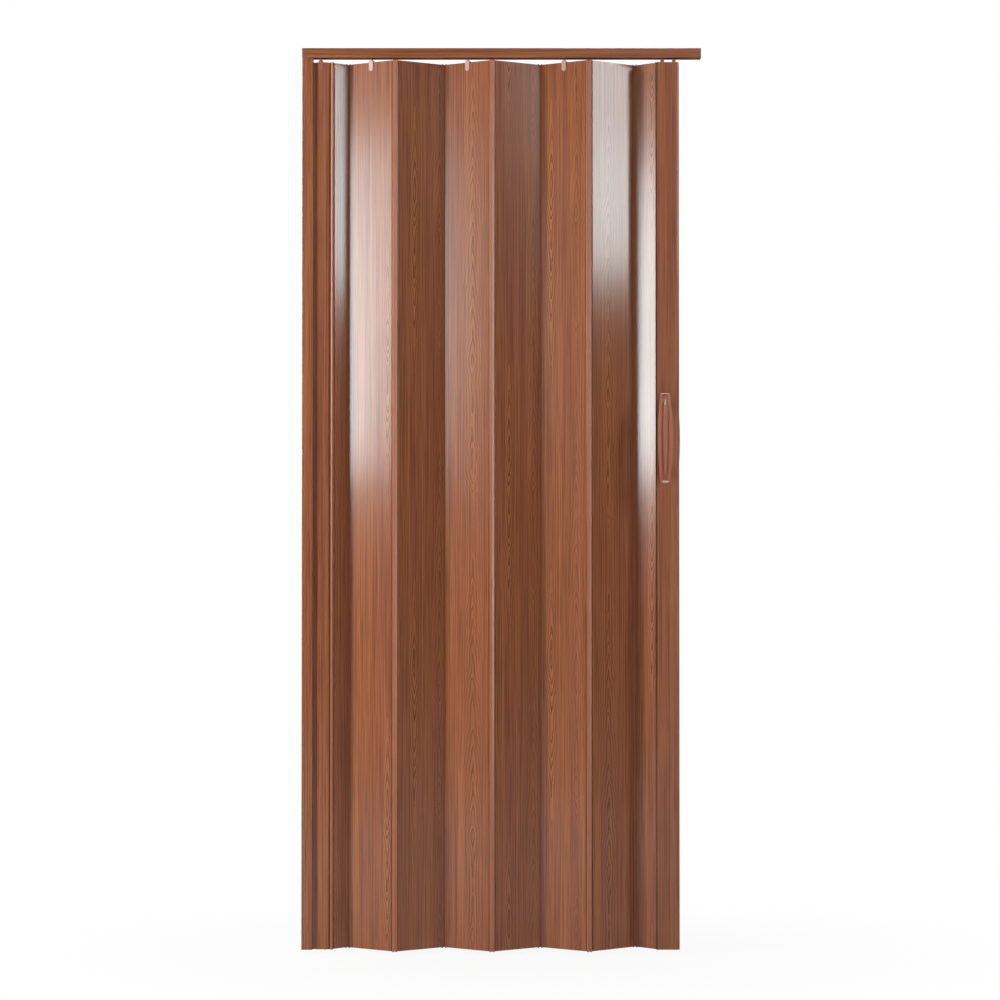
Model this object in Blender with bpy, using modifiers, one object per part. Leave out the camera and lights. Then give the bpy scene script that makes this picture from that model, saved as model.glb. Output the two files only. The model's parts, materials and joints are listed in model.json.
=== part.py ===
"""Accordion door: hollow wood-print panels folded in a zigzag, hung by rollers from a channel track.

X runs along the track from the fixed jamb to the lead post, Y away from the viewer, Z up.
The origin is on the middle of the track's length and depth, at the height of the door's lowest point.
"""

import math

import bmesh
import bpy
from mathutils import Matrix, Vector

# Sizes of the whole door, in metres
TRACK_LENGTH = 0.900
PANEL_LENGTH = 1.999
BEAD_OUT = 0.0020
HEAD_GAP = 0.009
GAP = 0.0003
OVERRUN = 0.002
WELD = 0.000002
SHARP_ANGLE = 32.0

# The zigzag seen from above, as distances between hinge axes and angles to the track
PANEL_PITCH = 0.113
STRIP_PITCH = 0.0076
WIDE_STRIP_PITCH = 0.016
FIRST_HALF_PITCH = 0.0366
LAST_HALF_PITCH = 0.0565
FULL_PANELS = 6
FIRST_AXIS_ALONG = 0.0525
FIRST_AXIS_BACK = 0.0037
FOLD_ANGLE = 26.3
LAST_FOLD_ANGLE = 30.1

# Panel extrusion
PANEL_THICKNESS = 0.006
PANEL_WALL = 0.0007
PANEL_END_WALL = 0.0009
PANEL_CORNER = 0.0008
CELL_PITCH = 0.022
CELL_WEB = 0.0008
BEAD_RADIUS = 0.0017
BEAD_SIDES = 16
NECK_THICKNESS = 0.001

# Hinge strip extrusion: two sockets round the beads of its neighbours
SOCKET_CLEARANCE = 0.0003
SOCKET_WALL = 0.0009
SOCKET_TO_BODY = 0.00035
STRIP_BULGE = 0.0004
STRIP_STICK_OUT = 0.0006
MOUTH_FRONT_ANGLE = -5.0
MOUTH_BACK_ANGLE = 112.0
STARTER_MOUTH_FRONT_ANGLE = -36.0
STARTER_MOUTH_BACK_ANGLE = 110.0
WIDE_MOUTH_FRONT_ANGLE = -19.0
WIDE_MOUTH_BACK_ANGLE = 63.0
STRIP_WEB_ANGLE = 30.0
ARC_STEP = 20.0

# Wall jamb and starter panel
JAMB_WIDTH = 0.0246
JAMB_DEPTH = 0.018
JAMB_WALL = 0.0016
JAMB_CORNER = 0.004
JAMB_LIP_CORNER = 0.001
JAMB_SLOT = 0.008
STARTER_TEE_WIDTH = 0.011
STARTER_TEE_THICKNESS = 0.002
STARTER_NECK = 0.003
STARTER_FACE_START = 0.0326
STARTER_FACE_END = 0.0608
STARTER_STEP_WIDTH = 0.0019
STARTER_STEP_LIP = 0.0005
STARTER_FLANGE = 0.0012
STARTER_FLANGE_CORNER = 0.0004
STARTER_CLIP_ALONG = 0.0417

# Lead post
POST_WIDTH = 0.0538
POST_DEPTH = 0.016
POST_WALL = 0.0014
POST_SOCKET_INSET = 0.0057
POST_NOSE = 0.0062
POST_NOSE_CORNER = 0.001
POST_CORNER = 0.006
POST_REBATE = 0.0034
POST_INNER_WALL = 0.001
POST_MOUTH_FRONT_ANGLE = 3.0
POST_MOUTH_BACK_ANGLE = 110.0
POST_STEM_PLACES = (0.0162, 0.0425)
PLUG_HEIGHT = 0.020
PLUG_CORNER = 0.0012

# Track
TRACK_DEPTH = 0.0224
TRACK_HEIGHT = 0.022
TRACK_WALL = 0.0015
TRACK_WEB = 0.0016
TRACK_SLOT = 0.0084
TRACK_CORNER = 0.001
MOUNT_HOLE_RADIUS = 0.0023
TRACK_HOLE_SHARES = (0.06, 0.36, 0.64, 0.94)
JAMB_HOLE_SHARES = (0.05, 0.35, 0.65, 0.95)
HOLE_SIDES = 14

# Roller carriage
WHEEL_RADIUS = 0.007
WHEEL_WIDTH = 0.0037
WHEEL_EDGE = 0.0006
WHEEL_RECESS = 0.0006
WHEEL_RIM = 0.0018
HUB_RADIUS = 0.003
WHEEL_SIDES = 16
AXLE_RADIUS = 0.0012
AXLE_HEAD_RADIUS = 0.0022
AXLE_HEAD = 0.0005
AXLE_SIDES = 12
CARRIAGE_LENGTH = 0.020
CARRIAGE_WIDTH = 0.0072
CARRIAGE_HEIGHT = 0.009
CARRIAGE_EDGE = 0.001
HUB_BOSS = 0.0007
STEM_RADIUS = 0.0025
PIN_RADIUS = 0.0016
PIN_HEAD_RADIUS = 0.002
PIN_HEAD_HEIGHT = 0.0015
PIN_REACH = 0.006
COLLAR_RADIUS = 0.0042
COLLAR_DROP = 0.001
POST_PIN_REACH = 0.012
STEM_SIDES = 14
SHOE_WIDTH = 0.0178

# Hanger clip
CLIP_WIDTH = 0.0104
CLIP_TONGUE = 0.019
CLIP_THICKNESS = 0.0018
CLIP_BRIDGE = 0.0045
CLIP_SHOULDER = 0.0035
CLIP_STEPS = 7

# Handles
HANDLE_LENGTH = 0.204
HANDLE_WIDTH = 0.034
HANDLE_END_WIDTH = 0.021
HANDLE_REACH = 0.027
HANDLE_END_REACH = 0.016
HANDLE_PLATE = 0.0045
HANDLE_EDGE = 0.001
HANDLE_RIM = 0.0034
HANDLE_SLOPE = 0.0012
HANDLE_RECESS = 0.002
HANDLE_SPINE = 0.0009
HANDLE_SPINE_WIDTH = 0.005
HANDLE_STATION_SHARES = (0.0, 0.19, 0.38, 0.57, 0.76, 0.93, 0.955, 1.0)
HANDLE_RECESS_SHARE = 0.94
FOOT_WIDTH = 0.012
FOOT_HEIGHT = 0.022
FOOT_SPREAD = 0.0015
FOOT_SINK = 0.001
FOOT_INSET = 0.030
HANDLE_ABOVE_PANEL_END = 1.148
FRONT_HANDLE_ALONG = 0.0208
BACK_HANDLE_OVERHANG = 0.0043

# Handle screws
SCREW_RADIUS = 0.0016
SCREW_HEAD_RADIUS = 0.0031
SCREW_HEAD = 0.0018
SCREW_DOME_SHARES = ((0.0, 1.0), (0.72, 0.85), (1.0, 0.35), (1.0, 0.0))
SCREW_BITE = 0.011
SCREW_SIDES = 12
SLOT_WIDTH = 0.0008
SLOT_LENGTH = 0.0036
SLOT_TIP_SHARE = 0.7
SLOT_DEPTH = 0.0009

# Colours are linear RGB
WOOD_COLOUR = (0.22, 0.085, 0.038, 1.0)
STRIP_COLOUR = (0.42, 0.21, 0.13, 1.0)
CLIP_COLOUR = (0.40, 0.19, 0.12, 1.0)
HANDLE_COLOUR = (0.27, 0.105, 0.060, 1.0)
NYLON_COLOUR = (0.75, 0.74, 0.70, 1.0)
STEEL_COLOUR = (0.60, 0.60, 0.61, 1.0)
GLOSSY = 0.3
SATIN = 0.45

# Heights and places that follow from the sizes above
PANEL_BOTTOM = BEAD_OUT
PANEL_TOP = PANEL_BOTTOM + PANEL_LENGTH
TRACK_BOTTOM = PANEL_TOP + HEAD_GAP
TRACK_TOP = TRACK_BOTTOM + TRACK_HEIGHT
TRACK_START = -TRACK_LENGTH / 2
HALF_THICKNESS = PANEL_THICKNESS / 2
SOCKET_RADIUS = BEAD_RADIUS + SOCKET_CLEARANCE
SOCKET_OUTER = SOCKET_RADIUS + SOCKET_WALL
BODY_START = SOCKET_OUTER + SOCKET_TO_BODY
AXLE_HEIGHT = TRACK_BOTTOM + TRACK_WALL + GAP + WHEEL_RADIUS
PIN_BORE_RADIUS = PIN_RADIUS + GAP
SCREW_BORE_RADIUS = SCREW_RADIUS + GAP
FOOT_FROM_MIDDLE = HANDLE_LENGTH / 2 - FOOT_INSET
HANDLE_MIDDLE = PANEL_BOTTOM + HANDLE_ABOVE_PANEL_END
BACK_HANDLE_ALONG = POST_WIDTH + BACK_HANDLE_OVERHANG - HANDLE_WIDTH / 2


def clear_scene():
    """Remove whatever the open file holds."""
    for thing in list(bpy.data.objects):
        bpy.data.objects.remove(thing, do_unlink=True)


def make_collection(name):
    """Add a collection to the scene."""
    collection = bpy.data.collections.new(name)
    bpy.context.scene.collection.children.link(collection)
    return collection


clear_scene()
PARTS = make_collection("accordion_door")
CUTTERS = make_collection("cutters")


def make_material(name, colour, roughness, metallic=0.0):
    """One plain finish for the solids."""
    material = bpy.data.materials.new(name)
    material.use_nodes = True
    shader = material.node_tree.nodes["Principled BSDF"]
    shader.inputs["Base Color"].default_value = colour
    shader.inputs["Roughness"].default_value = roughness
    shader.inputs["Metallic"].default_value = metallic
    material.diffuse_color = colour
    return material


WOOD = make_material("wood_print", WOOD_COLOUR, GLOSSY)
STRIP_PLASTIC = make_material("strip_plastic", STRIP_COLOUR, GLOSSY)
CLIP_PLASTIC = make_material("clip_plastic", CLIP_COLOUR, GLOSSY)
HANDLE_PLASTIC = make_material("handle_plastic", HANDLE_COLOUR, SATIN)
NYLON = make_material("nylon", NYLON_COLOUR, SATIN)
STEEL = make_material("zinc_plated_steel", STEEL_COLOUR, GLOSSY, 1.0)


def add_object(name, mesh, material=None, place=None, turn=0.0, collection=PARTS):
    """Put a mesh in the scene, turned about Z and moved to its place."""
    thing = bpy.data.objects.new(name, mesh)
    collection.objects.link(thing)
    thing.location = place or (0.0, 0.0, 0.0)
    thing.rotation_euler = (0.0, 0.0, turn)
    if collection is CUTTERS:
        thing.hide_render = True
        thing.display_type = "WIRE"
    if material and not mesh.materials:
        mesh.materials.append(material)
    return thing


def settled_mesh(thing, name):
    """The mesh of an object with its modifiers applied, welded and with round sides shaded smooth."""
    bpy.context.view_layer.update()
    graph = bpy.context.evaluated_depsgraph_get()
    mesh = bpy.data.meshes.new_from_object(thing.evaluated_get(graph))
    mesh.name = name
    mesh.transform(thing.matrix_world)
    shell = bmesh.new()
    shell.from_mesh(mesh)
    bmesh.ops.remove_doubles(shell, verts=shell.verts, dist=WELD)
    bmesh.ops.recalc_face_normals(shell, faces=shell.faces)
    shell.to_mesh(mesh)
    shell.free()
    mesh.shade_smooth()
    mesh.set_sharp_from_angle(angle=math.radians(SHARP_ANGLE))
    bpy.data.objects.remove(thing, do_unlink=True)
    return mesh


def combined_mesh(name, body, tools, operation):
    """Combine a mesh with others, which are clear of each other, by one Boolean."""
    shell = bmesh.new()
    for tool in tools:
        shell.from_mesh(tool)
    joined = bpy.data.meshes.new(name + "_tool")
    shell.to_mesh(joined)
    shell.free()
    helper = add_object(name + "_tool", joined, collection=CUTTERS)
    thing = add_object(name, body, collection=CUTTERS)
    boolean = thing.modifiers.new("boolean", "BOOLEAN")
    boolean.object = helper
    boolean.operation = operation
    boolean.solver = "EXACT"
    mesh = settled_mesh(thing, name)
    bpy.data.objects.remove(helper, do_unlink=True)
    return mesh


def along_x(mesh):
    """Turn a mesh extruded along Z so that it runs along X, its outline's X becoming Y and its Y becoming Z."""
    mesh.transform(Matrix(((0, 0, 1, 0), (1, 0, 0, 0), (0, 1, 0, 0), (0, 0, 0, 1))))
    return mesh


def along_y(mesh):
    """Turn a mesh extruded along Z so that it runs along Y, its outline's Y becoming Z."""
    mesh.transform(Matrix(((-1, 0, 0, 0), (0, 0, 1, 0), (0, 1, 0, 0), (0, 0, 0, 1))))
    return mesh


def moved(mesh, x=0.0, y=0.0, z=0.0):
    """Shift a mesh."""
    mesh.transform(Matrix.Translation((x, y, z)))
    return mesh


def outline_mesh(name, loops, low, high):
    """Extrude flat closed outlines, the first one filled and the others open, from low to high along Z."""
    curve = bpy.data.curves.new(name, "CURVE")
    curve.dimensions = "2D"
    curve.fill_mode = "BOTH"
    curve.extrude = (high - low) / 2
    for points in loops:
        spline = curve.splines.new("POLY")
        spline.points.add(len(points) - 1)
        for spot, (x, y) in zip(spline.points, points):
            spot.co = (x, y, 0.0, 1.0)
        spline.use_cyclic_u = True
    thing = bpy.data.objects.new(name, curve)
    CUTTERS.objects.link(thing)
    thing.location.z = (low + high) / 2
    return settled_mesh(thing, name)


def turned_mesh(name, profile, sides, closed=False):
    """Revolve a profile of (radius, height) points about Z. An open one runs from top to bottom."""
    mesh = bpy.data.meshes.new(name)
    edges = [(i, i + 1) for i in range(len(profile) - 1)]
    if closed:
        edges.append((len(profile) - 1, 0))
    mesh.from_pydata([(radius, 0.0, height) for radius, height in profile], edges, [])
    thing = add_object(name, mesh, collection=CUTTERS)
    screw = thing.modifiers.new("turn", "SCREW")
    screw.steps = sides
    screw.render_steps = sides
    screw.use_merge_vertices = True
    screw.merge_threshold = WELD
    return settled_mesh(thing, name)


def rod_mesh(name, radius, low, high, sides):
    """A plain round bar along Z."""
    return turned_mesh(name, [(0.0, high), (radius, high), (radius, low), (0.0, low)], sides)


def block_mesh(name, size, edge=0.0):
    """A box centred on the origin, with its edges cut off if wanted."""
    mesh = bpy.data.meshes.new(name)
    shell = bmesh.new()
    bmesh.ops.create_cube(shell, size=1.0, matrix=Matrix.Diagonal((*size, 1.0)))
    if edge:
        bmesh.ops.bevel(shell, geom=shell.edges[:], offset=edge, segments=1, affect="EDGES")
    shell.to_mesh(mesh)
    shell.free()
    return mesh


def arc(centre, radius, start, end, step=ARC_STEP):
    """Points on a circle from one angle to another, in degrees."""
    count = max(1, math.ceil(abs(end - start) / step))
    angles = [math.radians(start + (end - start) * i / count) for i in range(count + 1)]
    return [(centre[0] + radius * math.cos(a), centre[1] + radius * math.sin(a)) for a in angles]


def rounded_box(left, right, front, back, corner):
    """A rectangle with round corners, given by its sides. A zero corner stays sharp."""
    if not corner:
        return [(left, front), (right, front), (right, back), (left, back)]
    inner = (left + corner, right - corner, front + corner, back - corner)
    return (arc((inner[0], inner[2]), corner, 180, 270, 30) + arc((inner[1], inner[2]), corner, 270, 360, 30)
            + arc((inner[1], inner[3]), corner, 0, 90, 30) + arc((inner[0], inner[3]), corner, 90, 180, 30))


def panel_mesh(name, pitch):
    """A hollow panel between two bead axes, its first axis at the origin. The beads stand out at both ends.

    The section is one rounded outline with a neck at each end, open inside. Webs join its two skins.
    """
    half, open_half, neck = HALF_THICKNESS, HALF_THICKNESS - PANEL_WALL, NECK_THICKNESS / 2
    start, end = BODY_START, pitch - BODY_START
    body = rounded_box(start, end, -half, half, PANEL_CORNER)
    front, back = body[:len(body) // 2], body[len(body) // 2:]
    right_neck = [(end, -neck), (pitch, -neck), (pitch, neck), (end, neck)]
    left_neck = [(start, neck), (0.0, neck), (0.0, -neck), (start, -neck)]
    hollow = rounded_box(start + PANEL_END_WALL, end - PANEL_END_WALL, -open_half, open_half, 0.0)
    shell = outline_mesh(name, [front + right_neck + back + left_neck, hollow], PANEL_BOTTOM, PANEL_TOP)
    tools = [moved(bead_mesh(), axis) for axis in (0.0, pitch)]
    inside = end - start - 2 * PANEL_END_WALL
    cells = 2 * math.ceil((inside / CELL_PITCH - 1) / 2) + 1
    for number in range(1, cells):
        web = block_mesh("web", (CELL_WEB, PANEL_THICKNESS - PANEL_WALL, PANEL_LENGTH))
        along = start + PANEL_END_WALL + inside * number / cells
        tools.append(moved(web, along, 0.0, PANEL_BOTTOM + PANEL_LENGTH / 2))
    return combined_mesh(name, shell, tools, "UNION")


def bead_mesh():
    """The round bead along one hinge axis."""
    return rod_mesh("bead", BEAD_RADIUS, PANEL_BOTTOM - BEAD_OUT, PANEL_TOP + BEAD_OUT, BEAD_SIDES)


def strip_mesh(name, pitch, left_mouth, right_mouth, bulge):
    """A hinge strip: two sockets joined at the front.

    Its first axis is at the origin and the second at +X. A mouth is the two angles, from straight
    outward towards the back, between which its socket is open for the neck of the neighbour.
    """
    left, right = (0.0, 0.0), (pitch, 0.0)
    front = []
    for i in range(1, 4):
        share = i / 4
        front.append((pitch * (1 - share), -SOCKET_OUTER - bulge * 4 * share * (1 - share)))
    outline = (arc(right, SOCKET_OUTER, right_mouth[0], -90) + front
               + arc(left, SOCKET_OUTER, 270, 180 - left_mouth[0])
               + arc(left, SOCKET_RADIUS, 180 - left_mouth[0], 540 - left_mouth[1])
               + arc(left, SOCKET_OUTER, 540 - left_mouth[1], 360 - STRIP_WEB_ANGLE)
               + arc(right, SOCKET_OUTER, 180 + STRIP_WEB_ANGLE, right_mouth[1])
               + arc(right, SOCKET_RADIUS, right_mouth[1], 360 + right_mouth[0]))
    return outline_mesh(name, [outline], PANEL_BOTTOM - STRIP_STICK_OUT, PANEL_TOP + STRIP_STICK_OUT)


def drills(places, radius, low, high, turn):
    """Round cutters that run from low to high, turned with the function given and moved to their places."""
    tools = []
    for x, y, z in places:
        tools.append(moved(turn(rod_mesh("drill", radius, low, high, HOLE_SIDES)), x, y, z))
    return tools


def upright(mesh):
    """Leave a mesh along Z."""
    return mesh


def make_track():
    """The channel that the rollers run in, open along its underside."""
    half, slot = TRACK_DEPTH / 2, TRACK_SLOT / 2
    inner = half - TRACK_WALL
    outline = (arc((-half + TRACK_CORNER, TRACK_CORNER), TRACK_CORNER, 270, 180, 30)
               + arc((-half + TRACK_CORNER, TRACK_HEIGHT - TRACK_CORNER), TRACK_CORNER, 180, 90, 30)
               + arc((half - TRACK_CORNER, TRACK_HEIGHT - TRACK_CORNER), TRACK_CORNER, 90, 0, 30)
               + arc((half - TRACK_CORNER, TRACK_CORNER), TRACK_CORNER, 0, -90, 30)
               + [(slot, 0.0), (slot, TRACK_WALL), (inner, TRACK_WALL), (inner, TRACK_HEIGHT - TRACK_WEB)]
               + [(-inner, TRACK_HEIGHT - TRACK_WEB), (-inner, TRACK_WALL), (-slot, TRACK_WALL), (-slot, 0.0)])
    mesh = along_x(outline_mesh("top_track", [outline], TRACK_START, TRACK_START + TRACK_LENGTH))
    moved(mesh, z=TRACK_BOTTOM)
    places = [(TRACK_START + TRACK_LENGTH * share, 0.0, TRACK_TOP) for share in TRACK_HOLE_SHARES]
    tools = drills(places, MOUNT_HOLE_RADIUS, -TRACK_WEB - OVERRUN, OVERRUN, upright)
    return add_object("top_track", combined_mesh("top_track", mesh, tools, "DIFFERENCE"), WOOD)


def make_jamb():
    """The channel fixed to the wall, with the slot that holds the starter panel."""
    half, slot = JAMB_DEPTH / 2, JAMB_SLOT / 2
    inner = half - JAMB_WALL
    lip = JAMB_WIDTH - JAMB_WALL
    lip_middle = JAMB_WIDTH - JAMB_LIP_CORNER
    outline = (arc((JAMB_CORNER, half - JAMB_CORNER), JAMB_CORNER, 90, 180, 23)
               + arc((JAMB_CORNER, -half + JAMB_CORNER), JAMB_CORNER, 180, 270, 23)
               + arc((lip_middle, -half + JAMB_LIP_CORNER), JAMB_LIP_CORNER, 270, 360, 30)
               + [(JAMB_WIDTH, -slot), (lip, -slot), (lip, -inner), (JAMB_WALL, -inner)]
               + [(JAMB_WALL, inner), (lip, inner), (lip, slot), (JAMB_WIDTH, slot)]
               + arc((lip_middle, half - JAMB_LIP_CORNER), JAMB_LIP_CORNER, 0, 90, 30))
    top = TRACK_BOTTOM - GAP
    mesh = moved(outline_mesh("wall_jamb", [outline], PANEL_BOTTOM, top), TRACK_START)
    places = [(TRACK_START, 0.0, PANEL_BOTTOM + (top - PANEL_BOTTOM) * share) for share in JAMB_HOLE_SHARES]
    tools = drills(places, MOUNT_HOLE_RADIUS, -OVERRUN, JAMB_WALL + OVERRUN, along_x)
    return add_object("wall_jamb", combined_mesh("wall_jamb", mesh, tools, "DIFFERENCE"), WOOD)


def make_starter():
    """The fixed half width that is held in the jamb and carries the first bead."""
    tee, neck, half = STARTER_TEE_WIDTH / 2, STARTER_NECK / 2, HALF_THICKNESS
    tee_right = JAMB_WIDTH - JAMB_WALL - GAP
    tee_left = tee_right - STARTER_TEE_THICKNESS
    face, end = STARTER_FACE_START, STARTER_FACE_END
    body_end = FIRST_AXIS_ALONG - SOCKET_OUTER - GAP
    step = body_end - STARTER_STEP_WIDTH
    flange_back = -half + STARTER_FLANGE
    bead_neck = NECK_THICKNESS / 2
    back = FIRST_AXIS_BACK + bead_neck + STARTER_STEP_LIP
    round_off = STARTER_FLANGE_CORNER
    outline = ([(tee_left, -tee), (tee_right, -tee), (tee_right, -neck), (face, -neck)]
               + arc((face + PANEL_CORNER, -half + PANEL_CORNER), PANEL_CORNER, 180, 270, 30)
               + arc((end - round_off, -half + round_off), round_off, 270, 360, 45)
               + [(end, flange_back), (body_end, flange_back)]
               + [(body_end, FIRST_AXIS_BACK - bead_neck), (FIRST_AXIS_ALONG, FIRST_AXIS_BACK - bead_neck)]
               + [(FIRST_AXIS_ALONG, FIRST_AXIS_BACK + bead_neck), (body_end, FIRST_AXIS_BACK + bead_neck)]
               + [(body_end, back), (step, back), (step, half)]
               + arc((face + PANEL_CORNER, half - PANEL_CORNER), PANEL_CORNER, 90, 180, 30)
               + [(face, neck), (tee_right, neck), (tee_right, tee), (tee_left, tee)])
    cell = rounded_box(face + PANEL_END_WALL, step - PANEL_END_WALL, -half + PANEL_WALL, half - PANEL_WALL, 0.0)
    mesh = outline_mesh("starter_panel", [outline, cell], PANEL_BOTTOM, PANEL_TOP)
    bead = moved(bead_mesh(), FIRST_AXIS_ALONG, FIRST_AXIS_BACK)
    mesh = combined_mesh("starter_panel", mesh, [bead], "UNION")
    return add_object("starter_panel", moved(mesh, TRACK_START), WOOD)


def make_post():
    """The lead post: a tube with a nose over the socket in which the last half panel turns.

    Its outline has the post's front left corner at zero along, and the track's middle at zero back.
    """
    half = POST_DEPTH / 2
    axis = (POST_SOCKET_INSET, 0.0)
    nose_back = -half + POST_NOSE
    reach = math.sqrt(SOCKET_OUTER ** 2 - nose_back ** 2)
    nose_angle = 180 + math.degrees(math.atan2(-nose_back, reach))
    rebate = POST_SOCKET_INSET + POST_REBATE
    back_edge = SOCKET_OUTER * math.sin(math.radians(POST_MOUTH_BACK_ANGLE))
    outline = (arc((POST_NOSE_CORNER, -half + POST_NOSE_CORNER), POST_NOSE_CORNER, 180, 270, 30)
               + arc((POST_WIDTH - POST_CORNER, -half + POST_CORNER), POST_CORNER, 270, 360, 15)
               + arc((POST_WIDTH - POST_CORNER, half - POST_CORNER), POST_CORNER, 0, 90, 15)
               + arc((rebate + POST_NOSE_CORNER, half - POST_NOSE_CORNER), POST_NOSE_CORNER, 90, 180, 30)
               + [(rebate, back_edge)]
               + arc(axis, SOCKET_OUTER, 180 - POST_MOUTH_BACK_ANGLE, 180 - POST_MOUTH_BACK_ANGLE)[:1]
               + arc(axis, SOCKET_RADIUS, 180 - POST_MOUTH_BACK_ANGLE, -180 - POST_MOUTH_FRONT_ANGLE)
               + arc(axis, SOCKET_OUTER, 180 - POST_MOUTH_FRONT_ANGLE, nose_angle)
               + [(0.0, nose_back)])
    cell = (rounded_box(post_cell()[0], post_cell()[1], -half + POST_WALL, half - POST_WALL, 0.0)[:1]
            + arc((POST_WIDTH - POST_CORNER, -half + POST_CORNER), POST_CORNER - POST_WALL, 270, 360, 15)
            + arc((POST_WIDTH - POST_CORNER, half - POST_CORNER), POST_CORNER - POST_WALL, 0, 90, 15)
            + rounded_box(post_cell()[0], post_cell()[1], -half + POST_WALL, half - POST_WALL, 0.0)[3:])
    mesh = outline_mesh("lead_post", [outline, cell], PANEL_BOTTOM, PANEL_TOP)
    reach = POST_DEPTH / 2 + OVERRUN
    heights = [HANDLE_MIDDLE + side * FOOT_FROM_MIDDLE for side in (-1, 1)]
    front = [(FRONT_HANDLE_ALONG, 0.0, height) for height in heights]
    back = [(BACK_HANDLE_ALONG, 0.0, height) for height in heights]
    tools = drills(front, SCREW_BORE_RADIUS, -reach, reach, along_y)
    tools += drills(back, SCREW_BORE_RADIUS, 0.0, reach, along_y)
    return combined_mesh("lead_post", mesh, tools, "DIFFERENCE")


def post_cell():
    """The left and right ends of the hollow in the post."""
    return POST_SOCKET_INSET + POST_REBATE + POST_INNER_WALL, POST_WIDTH - POST_WALL


def make_plug(name, bored):
    """A block that closes one end of the post's hollow. The upper one is bored for the roller pins."""
    left, right = post_cell()
    half = POST_DEPTH / 2 - POST_WALL - GAP
    corner = POST_CORNER - POST_WALL
    outline = (arc((left + GAP + PLUG_CORNER, -half + PLUG_CORNER), PLUG_CORNER, 180, 270, 45)
               + arc((right - GAP - corner, -half + corner), corner, 270, 360, 15)
               + arc((right - GAP - corner, half - corner), corner, 0, 90, 15)
               + arc((left + GAP + PLUG_CORNER, half - PLUG_CORNER), PLUG_CORNER, 90, 180, 45))
    low = PANEL_TOP - PLUG_HEIGHT if bored else PANEL_BOTTOM
    mesh = outline_mesh(name, [outline], low, low + PLUG_HEIGHT)
    if bored:
        depth = POST_PIN_REACH + GAP
        places = [(along, 0.0, PANEL_TOP) for along in POST_STEM_PLACES]
        tools = drills(places, PIN_BORE_RADIUS, -depth, OVERRUN, upright)
        mesh = combined_mesh(name, mesh, tools, "DIFFERENCE")
    return mesh


def carriage_mesh(name, on_post):
    """The block between two wheels with its stem and pin, its swivel axis at the origin along Z."""
    block = block_mesh(name, (CARRIAGE_LENGTH, CARRIAGE_WIDTH, CARRIAGE_HEIGHT), CARRIAGE_EDGE)
    moved(block, z=AXLE_HEIGHT)
    mesh = combined_mesh(name, block, [stem_mesh(AXLE_HEIGHT, on_post)], "UNION")
    reach = CARRIAGE_WIDTH / 2 + OVERRUN
    bore = drills([(0.0, 0.0, AXLE_HEIGHT)], AXLE_RADIUS + GAP, -reach, reach, along_y)
    return combined_mesh(name, mesh, bore, "DIFFERENCE")


def stem_mesh(top, on_post):
    """The stem that hangs through the track's slot, and the pin below it."""
    if on_post:
        seat = PANEL_TOP + GAP
        foot = PANEL_TOP - POST_PIN_REACH
        profile = [(0.0, top), (STEM_RADIUS, top), (STEM_RADIUS, TRACK_BOTTOM - COLLAR_DROP)]
        profile += [(COLLAR_RADIUS, TRACK_BOTTOM - COLLAR_DROP), (COLLAR_RADIUS, seat), (PIN_RADIUS, seat)]
        profile += [(PIN_RADIUS, foot), (0.0, foot)]
    else:
        seat = PANEL_TOP + CLIP_BRIDGE + GAP
        head = PANEL_TOP - PIN_REACH
        profile = [(0.0, top), (STEM_RADIUS, top), (STEM_RADIUS, seat), (PIN_RADIUS, seat)]
        profile += [(PIN_RADIUS, head), (PIN_HEAD_RADIUS, head - PIN_HEAD_HEIGHT / 3)]
        profile += [(PIN_RADIUS, head - PIN_HEAD_HEIGHT), (0.0, head - PIN_HEAD_HEIGHT)]
    return turned_mesh("stem", profile, STEM_SIDES)


def make_starter_block():
    """The shoe that stands still in the track above the starter panel."""
    height = CARRIAGE_HEIGHT
    block = block_mesh("starter_block", (CARRIAGE_LENGTH, SHOE_WIDTH, height), CARRIAGE_EDGE)
    moved(block, z=TRACK_BOTTOM + TRACK_WALL + GAP + height / 2)
    stem = stem_mesh(TRACK_BOTTOM + TRACK_WALL + GAP + height / 2, False)
    mesh = combined_mesh("starter_block", block, [stem], "UNION")
    place = (TRACK_START + STARTER_CLIP_ALONG, 0.0, 0.0)
    return add_object("starter_block", mesh, CLIP_PLASTIC, place)


def clip_mesh():
    """A clip that straddles a panel's top edge: a bridge with a tongue down each face.

    The side view is a square hook, and the front view a long tongue with a round lower end. The clip
    is what both extrusions have in common.
    """
    inner = HALF_THICKNESS + GAP
    outer = inner + CLIP_THICKNESS
    low, top = PANEL_TOP - CLIP_TONGUE, PANEL_TOP + CLIP_BRIDGE
    bridge = PANEL_TOP + GAP
    hook = [(-outer, low), (-inner, low), (-inner, bridge), (inner, bridge), (inner, low), (outer, low)]
    hook += [(outer, top), (-outer, top)]
    half = CLIP_WIDTH / 2
    step = 180 / CLIP_STEPS
    tongue = arc((0.0, low + half), half, 180, 360, step)
    tongue += arc((half - CLIP_SHOULDER, top - CLIP_SHOULDER), CLIP_SHOULDER, 0, 90, step)
    tongue += arc((-half + CLIP_SHOULDER, top - CLIP_SHOULDER), CLIP_SHOULDER, 90, 180, step)
    side = along_x(outline_mesh("clip", [hook], -half - OVERRUN, half + OVERRUN))
    face = along_y(outline_mesh("clip_face", [tongue], -outer - OVERRUN, outer + OVERRUN))
    mesh = combined_mesh("clip", side, [face], "INTERSECT")
    bore = drills([(0.0, 0.0, PANEL_TOP)], PIN_BORE_RADIUS, -OVERRUN, CLIP_BRIDGE + OVERRUN, upright)
    return combined_mesh("clip", mesh, bore, "DIFFERENCE")


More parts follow.
